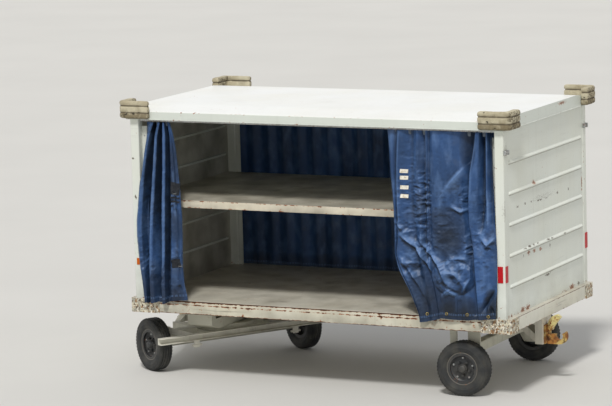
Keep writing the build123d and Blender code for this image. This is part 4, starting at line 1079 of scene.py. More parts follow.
class Cloth:
    """A curtain that hangs along fold lines.

    levels are heights. Each line is (x from the body's middle at each level, how far it stands out at the
    top, at half height and at the foot). hem gives the foot's height across the cloth. side is -1 for the
    near side.
    """

    def __init__(self, side, levels, lines, hem, cell, round_off=0.010):
        top = max(levels)
        drop = top - min(hem)
        rows = int(drop / cell)
        share = np.linspace(0, 1, rows + 1)
        height = top - share * drop
        across = np.array([fold_line(levels, line[0], height) for line in lines])
        zones = (top, (top + DECK) / 2, DECK)
        depth = []
        for _, outs in lines:
            depth.append(fold_line(levels if len(outs) == len(levels) else zones, outs, height))
        runs = np.hypot(np.diff(across, axis=0), np.diff(depth, axis=0)).mean(axis=1)
        stops = np.concatenate(([0.0], np.cumsum(runs)))
        self.width = stops[-1]
        columns = int(self.width / cell)
        spots = np.linspace(0, self.width, columns + 1)
        reach = max(1, int(round_off / cell * 1.6))
        x, out = (
            np.array([softened(np.interp(spots, stops, row), reach) for row in np.transpose(table)])
            for table in (across, depth)
        )
        foot = np.interp(spots / self.width, np.linspace(0, 1, len(hem)), hem)
        z = top - share[:, None] * (top - foot)[None, :]
        self.side, self.x, self.out, self.z = side, x, out, z
        # tone will hold painted shade and dark patches, the other array painted highlights
        self.tone, self.rub = np.zeros_like(x), np.zeros_like(x)

    def crease(self, *strokes):
        """Raised or sunk creases: (path, width, height, lean)."""
        for path, width, height, lean in strokes:
            self.out += stroke(self.x, self.z, path, width, height, lean)

    def bulge(self, *bulges):
        """Rounded bellies: (x, z, half sizes, height)."""
        for cx, cz, rx, rz, height in bulges:
            self.out += height * patch(self.x, self.z, cx, cz, rx, rz)

    def crumple(self, scale, seed, height, *ovals, tall=1.0):
        """Creases inside the ovals, at so many to the metre; above 1, tall lays them level."""
        mask = np.zeros_like(self.x)
        for oval in ovals:
            mask = np.maximum(mask, patch(self.x, self.z, *oval))
        flat = np.stack((self.x, np.zeros_like(self.x), self.z * tall), axis=-1).reshape(-1, 3)
        chosen = mask.ravel() > 0.01
        rough = np.zeros(len(flat))
        rough[chosen] = ridged(flat[chosen], scale, seed)
        self.out += height * mask * (rough.reshape(self.x.shape) - 0.45)

    def sway(self, scale, seed, height):
        """Slow unevenness over the whole cloth."""
        for at in np.ndindex(self.x.shape):
            spot = Vector((self.x[at] * scale, seed, self.z[at] * scale * 0.55))
            self.out[at] += height * noise.noise(spot)

    def dark_patches(self, *dark_spots):
        """Dark patches with soft edges, partly grime and partly painted shade: (x, z, half sizes, strength).
        """
        for cx, cz, rx, rz, strength in dark_spots:
            self.tone = np.maximum(self.tone, strength * patch(self.x, self.z, cx, cz, rx, rz) ** 0.6)

    def bleach_and_painted_highlight(self, *strokes):
        """Painted highlights on the facets that face the light: (path, half width, strength)."""
        for path, width, strength in strokes:
            along = stroke(self.x, self.z, path, width, 1.0)
            self.rub = np.maximum(self.rub, strength * np.clip(along * 2.2, 0, 1))

    def shade_relief(self, reach, hollow, crest, flanks=0.0):
        """Painted shade in the hollows and on steep flanks, and painted highlights on the crests.

        A hollow or a crest is judged by how far the cloth stands off its own average within the reach.
        """
        size = max(2, int(reach * (self.x.shape[1] - 1) / self.width))
        soft = self.out
        for _ in range(2):
            soft = np.array([softened(row, size) for row in soft]).T
        relief = self.out - soft
        self.tone = np.maximum(self.tone, np.clip(-relief / hollow, 0, 1) ** 0.8)
        steep = np.abs(np.gradient(self.out, axis=1))
        steep /= np.maximum(np.abs(np.gradient(self.x, axis=1)), 1e-5)
        self.tone = np.maximum(self.tone, flanks * np.clip(steep / 1.6 - 0.6, 0, 1))
        self.rub = np.maximum(self.rub, np.clip(relief / crest - 0.25, 0, 1) * 0.75)

    def points(self):
        """The cloth's points: leaning out from the track, and held off the post and the deck's edge."""
        lean = CLOTH_LEAN / (CLOTH_TOP - DECK)
        out = CLOTH_OUT + (CLOTH_TOP - self.z) * lean + self.out
        held = np.where((np.abs(self.x) > BATTEN_X) & (self.z < BATTEN_TOP), OVER_BATTEN, 0.0)
        held = np.maximum(held, np.where(np.abs(self.x) > POST_X, OVER_POST, 0.0))
        held = np.maximum(held, np.where(self.z < DECK_EDGE_TOP, OVER_DECK_EDGE, 0.0))
        over = held - out
        trace, fade = 0.0035, 0.02  # how much of its folds still shows there
        out = np.where(over > 0, held + trace * np.exp(-over / fade), out)
        return np.stack((self.x + MIDDLE, self.side * out, self.z), axis=-1)

    def at(self, x, z, lift=0.0):
        """The place on the cloth nearest to an x and a z, turned outwards, for what is sewn on."""
        table = self.points()
        # Where the cloth folds back over itself, its outer layer counts
        row, column = np.unravel_index(
            np.argmin((self.x - x) ** 2 + (self.z - z) ** 2 - 0.02 * self.out), self.x.shape
        )
        row = min(max(row, 2), table.shape[0] - 3)
        column = min(max(column, 2), table.shape[1] - 3)
        across = Vector(table[row, column + 2] - table[row, column - 2])
        up = Vector(table[row - 2, column] - table[row + 2, column]).normalized()
        outward = across.cross(up).normalized()
        if outward.y * self.side < 0:
            outward.negate()
        spot = Vector(table[row, column]) + outward * lift
        return Matrix.Translation(spot) @ Matrix((up.cross(outward), up, outward)).transposed().to_4x4()

    def lay(self, x, z, lift, thick, name, material, slot, turn=0.0):
        """A patch sewn flat on the cloth between two x and two z, following its folds."""
        start_fresh()
        columns, rows = (max(4, int(abs(b - a) / 0.006)) for a, b in (x, z))
        bpy.ops.mesh.primitive_grid_add(x_subdivisions=columns, y_subdivisions=rows, size=2)
        piece = bpy.context.object
        table = self.points()
        for vertex in piece.data.vertices:
            across, up = (vertex.co.x + 1) / 2, (vertex.co.y + 1) / 2
            want_x = x[0] + (x[1] - x[0]) * across + turn * (up - 0.5)
            want_z = z[0] + (z[1] - z[0]) * up - turn * (across - 0.5)
            middle = int(np.argmin(np.abs(self.z[:, self.x.shape[1] // 2] - want_z)))
            column = int(np.argmin(np.abs(self.x[middle] - want_x)))
            row = int(np.argmin(np.abs(self.z[:, column] - want_z)))
            near = slice(max(0, column - 2), column + 3)
            out = np.interp(want_x, self.x[row, near], table[row, near, 1])
            vertex.co = (want_x + MIDDLE, out + self.side * lift, want_z)
        bpy.ops.object.modifier_add(type="SOLIDIFY")
        piece.modifiers[-1].thickness = thick
        piece.modifiers[-1].offset = 0.0
        bpy.ops.object.modifier_apply(modifier=piece.modifiers[-1].name)
        bpy.ops.object.mode_set(mode="EDIT")
        tidy_shell(40)
        return settle(piece, name, material, "chassis")

    def build(self, name, material):
        """The mesh of the cloth, with its UV map in metres from its lower left corner."""
        start_fresh()
        rows, columns = self.x.shape
        bpy.ops.mesh.primitive_grid_add(x_subdivisions=columns - 1, y_subdivisions=rows - 1, size=2)
        piece = bpy.context.object
        grid = np.empty(rows * columns * 3)
        piece.data.vertices.foreach_get("co", grid)
        grid = grid.reshape(-1, 3)
        column = np.rint((grid[:, 0] + 1) / 2 * (columns - 1)).astype(int)
        row = np.rint((1 - grid[:, 1]) / 2 * (rows - 1)).astype(int)
        table = self.points()
        piece.data.vertices.foreach_set("co", table[row, column].ravel())
        # tone holds painted shade and dark patches, the other attribute painted highlights
        for label, values in (("tone", self.tone), ("rub", self.rub)):
            layer = piece.data.attributes.new(label, "FLOAT", "POINT")
            layer.data.foreach_set("value", values[row, column].ravel().astype(float))
        length = float(np.hypot(*(np.diff(table[:, columns // 2, i]) for i in (1, 2))).sum())
        flat = np.empty(len(piece.data.loops) * 2)
        piece.data.uv_layers[0].data.foreach_get("uv", flat)
        flat = flat.reshape(-1, 2) * (self.width, length)
        piece.data.uv_layers[0].data.foreach_set("uv", flat.ravel())
        piece.data.update()
        bpy.ops.object.shade_smooth()
        if self.side > 0:
            bpy.ops.object.mode_set(mode="EDIT")
            bpy.ops.mesh.select_all(action="SELECT")
            bpy.ops.mesh.flip_normals()
            bpy.ops.object.mode_set(mode="OBJECT")
        settle(piece, name, material, "chassis")
        area = sum(face.area for face in piece.data.polygons)
        return piece, (area / length, length)


def even_waves(start, end, folds, seed):
    """Fold lines of a curtain that is drawn closed: soft even waves."""
    lines = []
    for at in range(2 * folds + 1):
        spot = start + (end - start) * at / (2 * folds)
        jitter = [0.012 * noise.noise(Vector((at * 1.7, seed, level))) for level in (0.0, 2.0, 4.0)]
        deep = 0.016 if at % 2 else -0.013
        if at in (0, 2 * folds):
            jitter = [0.0, 0.0, 0.0]
        lines.append(([spot + j for j in jitter], (deep * 1.2, deep, deep * 0.9)))
    return lines


# The near front curtain, in metres from the body's middle: its fold lines and the heights of its hem
FRONT_LEVELS = (1.972, 1.87, 1.75, 1.47, 1.22, 1.07, 0.88, 0.70, 0.60)
FRONT_FOLDS = (
    # x along the body at each level, how far it stands out at the top, half way and foot
    ((-1.405,) * 9, (-0.030,) * 3),
    ((-1.372, -1.392, -1.410, -1.463, -1.493, -1.492, -1.474, -1.450, -1.437), (0.000, 0.004, 0.002)),
    ((-1.335, -1.376, -1.403, -1.444, -1.466, -1.463, -1.452, -1.434, -1.424), (0.020, 0.032, 0.028)),
    ((-1.322, -1.362, -1.388, -1.425, -1.442, -1.440, -1.430, -1.416, -1.410), (0.016, 0.026, 0.022)),
    ((-1.318, -1.336, -1.358, -1.389, -1.399, -1.397, -1.389, -1.388, -1.386), (-0.070, -0.060, -0.045)),
    ((-1.290, -1.318, -1.328, -1.353, -1.372, -1.376, -1.380, -1.378, -1.374), (0.016, 0.026, 0.024)),
    ((-1.268, -1.296, -1.302, -1.326, -1.345, -1.350, -1.352, -1.350, -1.345), (0.020, 0.030, 0.026)),
    ((-1.264, -1.276, -1.283, -1.295, -1.305, -1.300, -1.296, -1.302, -1.302), (-0.070, -0.062, -0.045)),
    ((-1.250, -1.254, -1.257, -1.262, -1.268, -1.270, -1.272, -1.276, -1.272), (0.016, 0.026, 0.024)),
    ((-1.236, -1.228, -1.230, -1.235, -1.240, -1.243, -1.246, -1.250, -1.246), (0.018, 0.030, 0.026)),
    ((-1.228, -1.214, -1.215, -1.217, -1.221, -1.227, -1.230, -1.232, -1.228), (-0.050, -0.045, -0.035)),
    ((-1.216, -1.200, -1.199, -1.194, -1.196, -1.200, -1.200, -1.206, -1.204), (0.002, 0.002, 0.002)),
    ((-1.208, -1.190, -1.182, -1.163, -1.153, -1.152, -1.150, -1.150, -1.140), (-0.006, -0.010, -0.010)),
    ((-1.204, -1.181, -1.160, -1.134, -1.118, -1.118, -1.118, -1.110, -1.085), (0.008, 0.012, 0.010)),
    ((-1.197, -1.170, -1.150, -1.117, -1.104, -1.104, -1.106, -1.092, -1.066), (-0.006,) * 3),
)
FRONT_HEM = (0.578, 0.590, 0.580, 0.596, 0.585, 0.604, 0.622)


def near_front_curtain(cell):
    """Drawn back to its post in three deep folds and a flat edge panel."""
    front = Cloth(-1, FRONT_LEVELS, FRONT_FOLDS, FRONT_HEM, cell, round_off=0.006)
    front.sway(4.0, 3.1, 0.010)
    front.crumple(
        12.0, 1.7, 0.020, (-1.17, 0.94, 0.06, 0.10), (-1.17, 1.40, 0.05, 0.12), (-1.42, 0.90, 0.05, 0.14),
        (-1.34, 0.84, 0.05, 0.12), (-1.26, 0.80, 0.05, 0.12), (-1.16, 0.72, 0.07, 0.07),
    )
    front.crumple(22.0, 4.9, 0.005, (-1.30, 1.28, 0.30, 0.90))
    # Painted highlights on the lit facets
    front.bleach_and_painted_highlight(
        (((-1.352, 1.90), (-1.455, 1.47), (-1.482, 1.15), (-1.455, 0.80)), 0.013, 0.20),
        (((-1.308, 1.86), (-1.340, 1.47), (-1.362, 1.15), (-1.366, 0.80)), 0.012, 0.35),
        (((-1.240, 1.90), (-1.248, 1.47), (-1.255, 1.15), (-1.260, 0.85)), 0.011, 0.35),
        (((-1.175, 0.97), (-1.150, 0.955)), 0.012, 0.60),
        (((-1.160, 0.875), (-1.130, 0.865)), 0.012, 0.60),
        (((-1.180, 1.60), (-1.165, 1.25)), 0.008, 0.30),
    )
    # Dark patches, partly grime and partly painted shade under the folds
    front.dark_patches(
        (-1.20, 0.62, 0.16, 0.16, 0.9), (-1.38, 0.60, 0.12, 0.14, 0.8), (-1.16, 1.18, 0.07, 0.14, 0.6),
        (-1.30, 0.80, 0.20, 0.14, 0.6), (-1.17, 1.62, 0.05, 0.30, 0.75), (-1.16, 0.86, 0.05, 0.10, 0.6),
        (-1.30, 0.68, 0.24, 0.20, 0.8),
    )
    # Painted shade in the hollows and on the steep flanks, painted highlights on the crests
    front.shade_relief(0.055, 0.012, 0.060, flanks=0.9)
    return front


# The near rear curtain, in the same columns. A line that turns over more often has a depth at each level
REAR_LEVELS = (1.974, 1.85, 1.65, 1.45, 1.30, 1.18, 1.06, 0.94, 0.80, 0.70, 0.60)
REAR_FOLDS = (
    ((.604, .617, .628, .646, .652, .655, .658, .690, .770, .815, .858), (-0.045, -0.045, -0.045)),
    ((.594, .607, .618, .636, .642, .645, .648, .680, .760, .805, .848), (-0.015, -0.015, -0.015)),
    ((.640, .640, .646, .656, .662, .665, .660, .696, .772, .816, .855), (0.008, 0.008, 0.008)),
    ((.676, .668, .665, .668, .673, .676, .666, .705, .778, .822, .860), (-0.012, -0.012, -0.008)),
    ((.700, .690, .686, .684, .690, .694, .678, .716, .788, .830, .866), (0.022, 0.022, 0.018)),
    ((.748, .744, .742, .742, .748, .758, .748, .772, .827, .862, .887), (0.006, 0.006, 0.006)),
    ((.803, .802, .801, .796, .808, .829, .830, .845, .880, .905, .925), (-0.022, -0.022, -0.016)),
    ((.845, .848, .857, .870, .868, .868, .875, .890, .920, .945, .960), (0.014, 0.014, 0.010)),
    ((.893, .897, .901, .903, .903, .903, .913, .928, .958, .980, .995), (-0.030, -0.022, -0.014)),
    ((.909, .912, .912, .918, .922, .922, .932, .947, .975, .995, 1.008), (0.004, 0.004, 0.004)),
    ((.926, .926, .926, .932, .940, .940, .950, .965, .990, 1.01, 1.02), (-0.024, -0.014, -0.006)),
    ((.968, .970, .972, .969, .966, .966, .980, 1.00, 1.025, 1.04, 1.05), (0.012, 0.010, 0.004)),
    ((1.06, 1.06, 1.06, 1.06, 1.06, 1.06, 1.07, 1.08, 1.09, 1.10, 1.10), (0.016, 0.008, 0.008)),
    ((1.16, 1.16, 1.16, 1.16, 1.16, 1.16, 1.16, 1.17, 1.18, 1.18, 1.18), (0.006, -0.006, -0.008)),
    ((1.215, 1.21, 1.19, 1.19, 1.20, 1.21, 1.215, 1.22, 1.225, 1.23, 1.235), (-0.026, -0.006, 0.004)),
    ((1.285, 1.268, 1.235, 1.228, 1.238, 1.255, 1.265, 1.270, 1.282, 1.29, 1.30), (-0.065, -0.050, -0.035)),
    ((1.307, 1.295, 1.262, 1.252, 1.256, 1.275, 1.292, 1.300, 1.312, 1.32, 1.326), (0.024, 0.024, 0.020)),
    (
        (1.335, 1.33, 1.315, 1.312, 1.305, 1.305, 1.33, 1.34, 1.35, 1.36, 1.36),
        (0.016, 0.016, 0.014, 0.014, 0.012, 0.012, 0.014, 0.012, 0.010, 0.008, 0.008),
    ),
    (
        (1.354, 1.356, 1.358, 1.358, 1.350, 1.345, 1.36, 1.375, 1.38, 1.38, 1.38),
        (-0.055, -0.055, -0.055, -0.050, -0.035, 0.006, 0.010, 0.008, 0.006, 0.002, -0.004),
    ),
    ((1.386, 1.387, 1.388, 1.390, 1.393, 1.395, 1.40, 1.40, 1.40, 1.40, 1.40), (0.012, 0.012, 0.008)),
    (
        (1.408, 1.416, 1.420, 1.424, 1.43, 1.435, 1.44, 1.44, 1.44, 1.43, 1.425),
        (-0.045, -0.040, -0.036, -0.032, -0.020, 0.000, 0.004, 0.004, 0.000, -0.004, -0.010),
    ),
    ((1.428, 1.432, 1.438, 1.446, 1.455, 1.465, 1.470, 1.470, 1.468, 1.460, 1.455), (-0.002,) * 3),
)
REAR_HEM = (0.560, 0.567, 0.599, 0.592, 0.607, 0.615)


def near_rear_curtain(cell):
    """Half drawn: three soft folds, an overlap, a crumpled middle and a flap at the post."""
    rear = Cloth(-1, REAR_LEVELS, REAR_FOLDS, REAR_HEM, cell, round_off=0.008)
    rear.crease(
        # path of (x, z), width, height, and the lean that makes its lower right side steep
        (((1.213, 1.717), (1.051, 1.530)), 0.060, 0.030, -0.6),
        (((1.096, 1.432), (1.181, 1.386), (1.244, 1.413)), 0.028, 0.022, 0.0),
        (
            ((0.700, 1.215), (0.729, 1.184), (0.835, 1.113), (0.921, 1.004), (0.976, 0.913)),
            0.042, 0.042, -0.4,
        ),
        (((0.846, 1.180), (0.947, 1.071), (1.017, 0.990), (1.082, 0.872)), 0.036, 0.036, -0.4),
        (((0.690, 1.060), (0.760, 0.960), (0.850, 0.840), (0.905, 0.720)), 0.040, 0.026, -0.3),
        (((1.088, 1.027), (1.170, 1.045), (1.249, 1.039)), 0.036, 0.026, 0.0),
        (((1.030, 0.766), (1.096, 0.811), (1.167, 0.763)), 0.026, 0.034, 0.4),
        (((1.249, 1.039), (1.255, 0.90), (1.190, 0.770)), 0.026, 0.020, 0.0),
        (((1.340, 1.211), (1.400, 1.150), (1.455, 1.214)), 0.034, 0.038, -0.3),
        (((0.660, 1.290), (0.740, 1.235)), 0.020, 0.018, -0.3),
        (((1.453, 0.835), (1.372, 0.700), (1.337, 0.640)), 0.034, -0.034, 0.0),
        (((1.400, 0.720), (1.440, 0.640)), 0.020, -0.024, 0.0),
        (((1.146, 0.790), (1.146, 0.620)), 0.020, 0.018, 0.3),
    )
    rear.bulge((1.12, 0.90, 0.17, 0.13, 0.040))
    rear.sway(4.0, 7.7, 0.008)
    rear.crumple(
        9.0, 5.3, 0.026, (0.880, 1.46, 0.095, 0.26), (1.205, 1.50, 0.050, 0.09), (1.24, 1.13, 0.05, 0.12),
        tall=2.2,
    )
    rear.crumple(
        9.0, 3.4, 0.030, (1.12, 0.93, 0.17, 0.15), (0.738, 1.24, 0.06, 0.06), (0.90, 1.12, 0.12, 0.10),
        (0.80, 0.98, 0.10, 0.10),
    )
    rear.crumple(
        11.0, 8.1, 0.009, (0.80, 1.40, 0.20, 0.60), (1.05, 1.22, 0.20, 0.26), (1.35, 1.20, 0.12, 0.60),
        tall=1.6,
    )
    rear.crumple(30.0, 2.6, 0.003, (1.02, 1.28, 0.50, 0.90))
    # Dark patches, partly grime and partly painted shade under the bulge and the turned-in folds
    rear.dark_patches(
        (1.07, 1.24, 0.17, 0.20, 0.80), (1.24, 1.86, 0.07, 0.20, 0.75), (1.05, 0.66, 0.30, 0.12, 0.95),
        (1.33, 0.62, 0.14, 0.12, 0.85), (0.90, 0.78, 0.14, 0.20, 0.70), (0.90, 1.80, 0.07, 0.18, 0.45),
        (0.86, 1.40, 0.07, 0.12, 0.45), (1.26, 1.10, 0.04, 0.18, 0.6), (1.42, 0.68, 0.07, 0.16, 0.95),
        (0.93, 0.72, 0.13, 0.22, 0.85), (1.20, 0.64, 0.14, 0.14, 0.95), (1.08, 1.20, 0.14, 0.16, 0.90),
    )
    # Painted highlights on the lit facets and crease tops
    rear.bleach_and_painted_highlight(
        (((1.205, 1.705), (1.060, 1.540)), 0.034, 0.60),
        (((1.100, 1.430), (1.181, 1.392), (1.240, 1.410)), 0.014, 0.50),
        (((0.700, 1.960), (0.688, 1.727), (0.686, 1.483), (0.694, 1.295)), 0.010, 0.35),
        (((0.700, 1.225), (0.815, 1.140), (0.905, 1.030)), 0.026, 0.45),
        (((0.870, 1.160), (0.955, 1.075), (1.020, 1.000)), 0.022, 0.45),
        (((1.065, 1.000), (1.090, 0.900), (1.110, 0.820)), 0.030, 0.40),
        (((1.040, 0.775), (1.096, 0.800), (1.160, 0.772)), 0.026, 0.65),
        (((1.350, 1.215), (1.400, 1.170), (1.450, 1.220)), 0.024, 0.50),
        (((1.300, 1.900), (1.268, 1.700), (1.262, 1.500)), 0.016, 0.35),
        (((1.395, 1.500), (1.398, 1.300)), 0.010, 0.50),
    )
    # Painted shade in the hollows and on the steep flanks, painted highlights on the crests
    rear.shade_relief(0.045, 0.016, 0.026, flanks=0.5)
    return rear


def far_curtains(cell):
    """The two on the far side, drawn closed so that they meet in the middle."""
    levels = (1.974, 1.30, 0.60)
    waves = even_waves(-1.446, 0.012, 11, 1.0), even_waves(0.004, 1.446, 11, 9.0)
    waves[0][0] = ([-1.446, -1.470, -1.480], waves[0][0][1])
    waves[1][-1] = ([1.446, 1.470, 1.480], waves[1][-1][1])
    far_front = Cloth(1, levels, waves[0], (0.592, 0.588, 0.594), cell)
    far_rear = Cloth(1, levels, waves[1], (0.594, 0.589, 0.592), cell)
    far_front.out += 0.006 * np.exp(-(((far_front.x - 0.012) / 0.02) ** 2))
    far_front.sway(3.0, 2.2, 0.012)
    far_rear.sway(3.0, 6.4, 0.012)
    for each in (far_front, far_rear):
        # Dark patches along the foot, partly grime and partly painted shade
        each.dark_patches(*((each.x.mean() + at * 0.3, 0.60, 0.22, 0.12, 0.7) for at in (-2, -1, 0, 1, 2)))
        # Painted shade in the hollows, painted highlights on the crests
        each.shade_relief(0.055, 0.022, 0.030)
    return far_front, far_rear


class CART_OT_curtains(bpy.types.Operator):
    """Hang the four curtains along their measured folds"""

    bl_idname = "cart.curtains"
    bl_label = "Hang the curtains"

    def execute(self, context):
        cell = context.scene.cart_sizes.cloth_cell
        cloth = coated_cloth("Coated navy cloth", context.scene.cart_colours)
        far_front, far_rear = far_curtains(2 * cell)
        for name, held, made in (
            ("near_front", "gathered", near_front_curtain(cell)),
            ("near_rear", "gathered", near_rear_curtain(cell)),
            ("far_front", "hung", far_front),
            ("far_rear", "hung", far_rear),
        ):
            piece, flat = made.build(f"hung_curtain_{name}", cloth)
            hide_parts(f"curtain_{name}")
            cloths[name] = made
        return {"FINISHED"}


class CART_OT_curtain_fittings(bpy.types.Operator):
    """Sew the tape, the straps and the eyelets on the curtains, and hang them from their loops"""

    bl_idname = "cart.curtain_fittings"
    bl_label = "Sew the curtains' fittings"

    def execute(self, context):
        rear, front = cloths["near_rear"], cloths["near_front"]
        tape = reflective_tape("Reflective tape")
        strap = webbing("Black webbing", "#171B22")
        loop_webbing = webbing("Grey webbing", "#59636F")
        zinc = zinc_plate("Zinc-plated buckle", rusty=0.15)

        # Four scraps of reflective tape on the rear curtain
        scraps = (1.659, 1.687), (1.610, 1.638), (1.539, 1.567), (1.475, 1.502)
        for at, heights in enumerate(scraps):
            name = f"tape_{at + 1}"
            rear.lay((0.712, 0.769), heights, 0.0015, 0.0012, name, tape, "white_paint", 0.003)

        # Two straps on the front curtain's edge, which held it back
        for name, start, heights, lift, turn in (
            # where it starts along the body, its two heights, how far it stands off, how far it is askew
            ("strap_patch_high", -1.205, (1.425, 1.515), 0.003, 0.01),
            ("strap_patch_low", -1.200, (0.866, 0.930), 0.003, -0.01),
            ("strap_rib_1", -1.208, (1.365, 1.365 + 0.012), 0.004, 0.004),
            ("strap_rib_2", -1.208, (1.395, 1.395 + 0.012), 0.004, 0.004),
        ):
            front.lay((start, -1.118), heights, lift, 0.003, name, strap, "navy_curtain", turn)

        # A square wire buckle for each, modelled once: the wire bent round, with its bar
        wire = 0.019  # the bend's radius
        start_fresh()
        bpy.ops.mesh.primitive_torus_add(
            major_segments=32, minor_segments=10, major_radius=wire, minor_radius=0.0022
        )
        buckle = bpy.context.object
        for vertex in buckle.data.vertices:
            x, y = vertex.co.x, vertex.co.y
            reach = 1.0 / max(0.35, (abs(x / wire) ** 4 + abs(y / wire) ** 4) ** 0.25)
            vertex.co.x, vertex.co.y = x * reach * 0.95, y * reach * 0.7
        bpy.ops.object.mode_set(mode="EDIT")
        tidy_shell(60)
        bar = rod(0.002, 0.034, (0, 0, 0), 10, turn=(0, pi / 2, 0))
        bpy.ops.mesh.select_all(action="SELECT")
        bpy.ops.mesh.bevel(offset=0.0005, segments=1, affect="EDGES")
        tidy_shell(60)
        buckle = joined((buckle, bar))
        spots = [front.at(-1.160, 1.432, 0.007), front.at(-1.115, 0.884, 0.006)]
        copies(buckle, spots, "strap_buckles", zinc, "chassis")
        bpy.data.objects.remove(buckle)

        # Brass eyelets along the rear curtain's foot: a rolled ring, modelled once
        eyelet = spun(
            "eyelet_model",
            (
                (0.0062, 0.0015), (0.0062, -0.0010), (0.0075, -0.0026), (0.0098, -0.0026),
                (0.0118, -0.0010), (0.0122, 0.0015),
            ),
            28,
        )
        tidy_shell(50)
        up = Matrix.Rotation(-pi / 2, 4, "X")
        spots = (0.913, 0.627), (1.065, 0.636), (1.230, 0.640), (1.402, 0.634)
        places = [rear.at(x, z, 0.001) @ up for x, z in spots]
        brass = bright_brass("Pressed brass")
        copies(eyelet, places, "curtain_eyelets", brass, "chassis")
        bpy.data.objects.remove(eyelet)

        # Webbing loops over the track, one at each fold's top, modelled once
        start_fresh()
        bpy.ops.mesh.primitive_torus_add(
            major_segments=28, minor_segments=4, major_radius=0.013, minor_radius=0.0018,
            rotation=(0, pi / 2, 0),
        )
        loop = place_in_mesh(bpy.context.object)
        for vertex in loop.data.vertices:
            vertex.co.x *= 6.5
            vertex.co.y *= 0.42
            vertex.co.z *= 1.0 if vertex.co.z > 0 else 2.2
        bpy.ops.object.mode_set(mode="EDIT")
        tidy_shell(45)
        for name, cloth in cloths.items():
            ends = cloth.x[0, 0], cloth.x[0, -1]
            count = max(3, int((ends[1] - ends[0]) / 0.115))
            spots = []
            for at in range(count):
                x = ends[0] + (ends[1] - ends[0]) * (at + 0.5) / count
                spots.append(Matrix.Translation((x + MIDDLE, cloth.side * TRACK_Y, HANGER_Z)))
            copies(loop, spots, f"hanger_loops_{name}", loop_webbing, "chassis")
        bpy.data.objects.remove(loop)
        return {"FINISHED"}


class CART_OT_body_fittings(bpy.types.Operator):
    """Bolt the battens to the posts and add the small catches on the rear end"""

    bl_idname = "cart.body_fittings"
    bl_label = "Bolt on the body fittings"

    def execute(self, context):
        sizes = context.scene.cart_sizes
        zinc = zinc_plate("Zinc-plated rivet", rusty=0.5)

        # A domed head on its flange, modelled once, pointing along -Y
        half = sizes.rivet / 2
        head = spun(
            "head_model",
            (
                (0.0004, -0.62 * half), (0.45 * half, -0.55 * half), (0.8 * half, -0.30 * half),
                (half, 0.0), (1.15 * half, 0.02 * half), (1.15 * half, 0.25 * half), (0.0004, 0.25 * half),
            ),
            20,
        )
        tidy_shell(50)
        spots = []
        for end in (-1, 1):
            for side in (-1, 1):
                turn = Matrix.Rotation(0 if side < 0 else pi, 4, "Z")
                for at in range(9):
                    spot = (MIDDLE + end * BATTEN_BOLTS_X, side * 0.7815, 0.70 + at * 0.145)
                    spots.append(Matrix.Translation(spot) @ turn)
        copies(head, spots, "batten_bolts", zinc, "chassis")
        bpy.data.objects.remove(head)

        # A catch for the door strap high on each rear corner: a bent plate with a pin
        start_fresh()
        bpy.ops.mesh.primitive_cube_add(size=1, scale=(0.004, 0.070, 0.034))
        catch = place_in_mesh(bpy.context.object, Matrix.Translation((0.002, 0, 0)))
        bpy.ops.object.mode_set(mode="EDIT")
        bpy.ops.mesh.subdivide(number_cuts=4)
        pick(lambda f: f.normal.x > 0.9 and abs(f.calc_center_median().y) > 0.024)
        bpy.ops.mesh.extrude_region_move(TRANSFORM_OT_translate={"value": (0.016, 0, 0)})
        pick(lambda e: e.is_manifold and e.calc_face_angle() > 1.0, "edge")
        bpy.ops.mesh.bevel(offset=0.0012, segments=2, affect="EDGES")
        tidy_shell(40)
        pin = rod(0.004, 0.074, (0.013, 0, 0), 14)
        pick(lambda f: abs(f.normal.y) > 0.9)
        bpy.ops.mesh.bevel(offset=0.001, segments=2, affect="EDGES")
        tidy_shell(40)
        catch = joined((catch, pin))
        spots = [Matrix.Translation((PANEL_X + 0.004, y, 1.830)) for y in (-0.803, 0.803)]
        copies(catch, spots, "strap_catches", zinc, "chassis")
        bpy.data.objects.remove(catch)
        return {"FINISHED"}


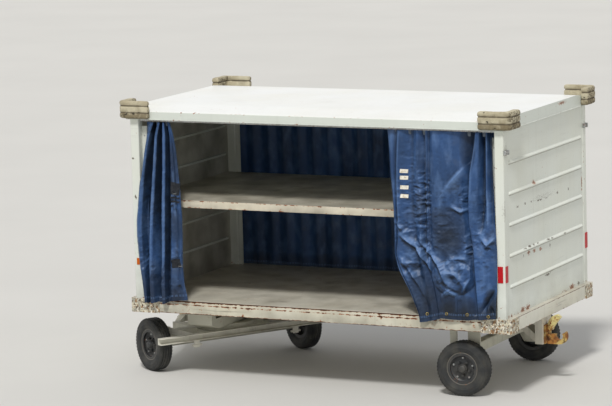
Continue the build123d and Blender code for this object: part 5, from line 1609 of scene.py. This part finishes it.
class CART_OT_stage(bpy.types.Operator):
    """Set the floor, the key lamp, the world and the camera"""

    bl_idname = "cart.stage"
    bl_label = "Set the stage"

    def execute(self, context):
        stage = context.scene.cart_stage
        start_fresh()
        bpy.ops.mesh.primitive_plane_add(size=240, location=(0, 0, -0.0005))
        floor = place_in_mesh(bpy.context.object)
        bpy.ops.object.mode_set(mode="EDIT")
        bpy.ops.mesh.subdivide(number_cuts=3)
        bpy.ops.object.mode_set(mode="OBJECT")
        floor.name = "studio_floor"
        floor.data.materials.append(floor_paint("Studio floor paint", stage.floor))

        world = bpy.data.worlds.new("Soft studio light")
        context.scene.world = world
        world.use_nodes = True
        tree = world.node_tree
        tree.nodes.clear()
        seen = put(tree, "ShaderNodeLightPath").node
        shown = seen.outputs["Is Camera Ray"]
        for ray in ("Is Glossy Ray", "Is Transmission Ray"):
            shown = put(tree, "ShaderNodeMath", (shown, seen.outputs[ray]), operation="MAXIMUM")
        strength = put(tree, "ShaderNodeMapRange", (shown, 0.0, 1.0, stage.sky, 0.92))
        glow = put(tree, "ShaderNodeBackground", {"Color": linear("#FFFFFF"), "Strength": strength})
        put(tree, "ShaderNodeOutputWorld", {"Surface": glow})

        lamp = bpy.data.lights.new("key_lamp", "SUN")
        lamp.energy = stage.sun
        lamp.angle = radians(10)
        lamp.color = linear("#FFFDFA")[:3]
        key = bpy.data.objects.new("key_lamp", lamp)
        context.scene.collection.objects.link(key)
        key.rotation_euler = Vector((0.18, -0.72, 1.0)).to_track_quat("Z", "Y").to_euler()

        yaw, pitch, roll = stage.yaw, stage.pitch, stage.roll
        ahead = Vector((-sin(yaw) * cos(pitch), cos(yaw) * cos(pitch), -sin(pitch)))
        right = Vector((cos(yaw), sin(yaw), 0))
        up = right.cross(ahead)
        across = cos(roll) * right + sin(roll) * up
        above = cos(roll) * up - sin(roll) * right
        camera = bpy.data.objects.new("camera", bpy.data.cameras.new("camera"))
        context.scene.collection.objects.link(camera)
        camera.data.lens = stage.lens
        camera.data.sensor_width = 36
        camera.data.clip_end = 400
        turn = Matrix((across, above, -ahead)).transposed().to_4x4()
        camera.matrix_world = Matrix.Translation(stage.place) @ turn
        context.scene.camera = camera
        context.scene.view_settings.view_transform = "Standard"
        return {"FINISHED"}


class CART_PT_panel(bpy.types.Panel):
    """The cart's pieces, sizes and colours, in the sidebar"""

    bl_idname = "CART_PT_panel"
    bl_label = "Covered baggage cart"
    bl_space_type = "VIEW_3D"
    bl_region_type = "UI"
    bl_category = "Cart"

    def draw(self, context):
        layout = self.layout
        for operator in OPERATORS:
            layout.operator(operator.bl_idname)
        for title, group in (
            ("Colours", context.scene.cart_colours),
            ("Sizes", context.scene.cart_sizes),
            ("Stage", context.scene.cart_stage),
        ):
            box = layout.box()
            box.label(text=title)
            for name in group.__annotations__:
                box.prop(group, name)


OPERATORS = (
    CART_OT_paint,
    CART_OT_bumpers,
    CART_OT_tyres,
    CART_OT_wheel_fittings,
    CART_OT_curtains,
    CART_OT_curtain_fittings,
    CART_OT_body_fittings,
    CART_OT_stage,
)
CLASSES = (CartColours, CartSizes, CartStage) + OPERATORS + (CART_PT_panel,)


def register():
    for each in CLASSES:
        bpy.utils.register_class(each)
    bpy.types.Scene.cart_colours = PointerProperty(type=CartColours)
    bpy.types.Scene.cart_sizes = PointerProperty(type=CartSizes)
    bpy.types.Scene.cart_stage = PointerProperty(type=CartStage)


def unregister():
    del bpy.types.Scene.cart_stage
    del bpy.types.Scene.cart_sizes
    del bpy.types.Scene.cart_colours
    for each in reversed(CLASSES):
        bpy.utils.unregister_class(each)


def main():
    register()
    bpy.ops.cart.paint()
    bpy.ops.cart.bumpers()
    bpy.ops.cart.tyres()
    bpy.ops.cart.wheel_fittings()
    bpy.ops.cart.curtains()
    bpy.ops.cart.curtain_fittings()
    bpy.ops.cart.body_fittings()
    bpy.ops.cart.stage()


if __name__ == "__main__":
    main()
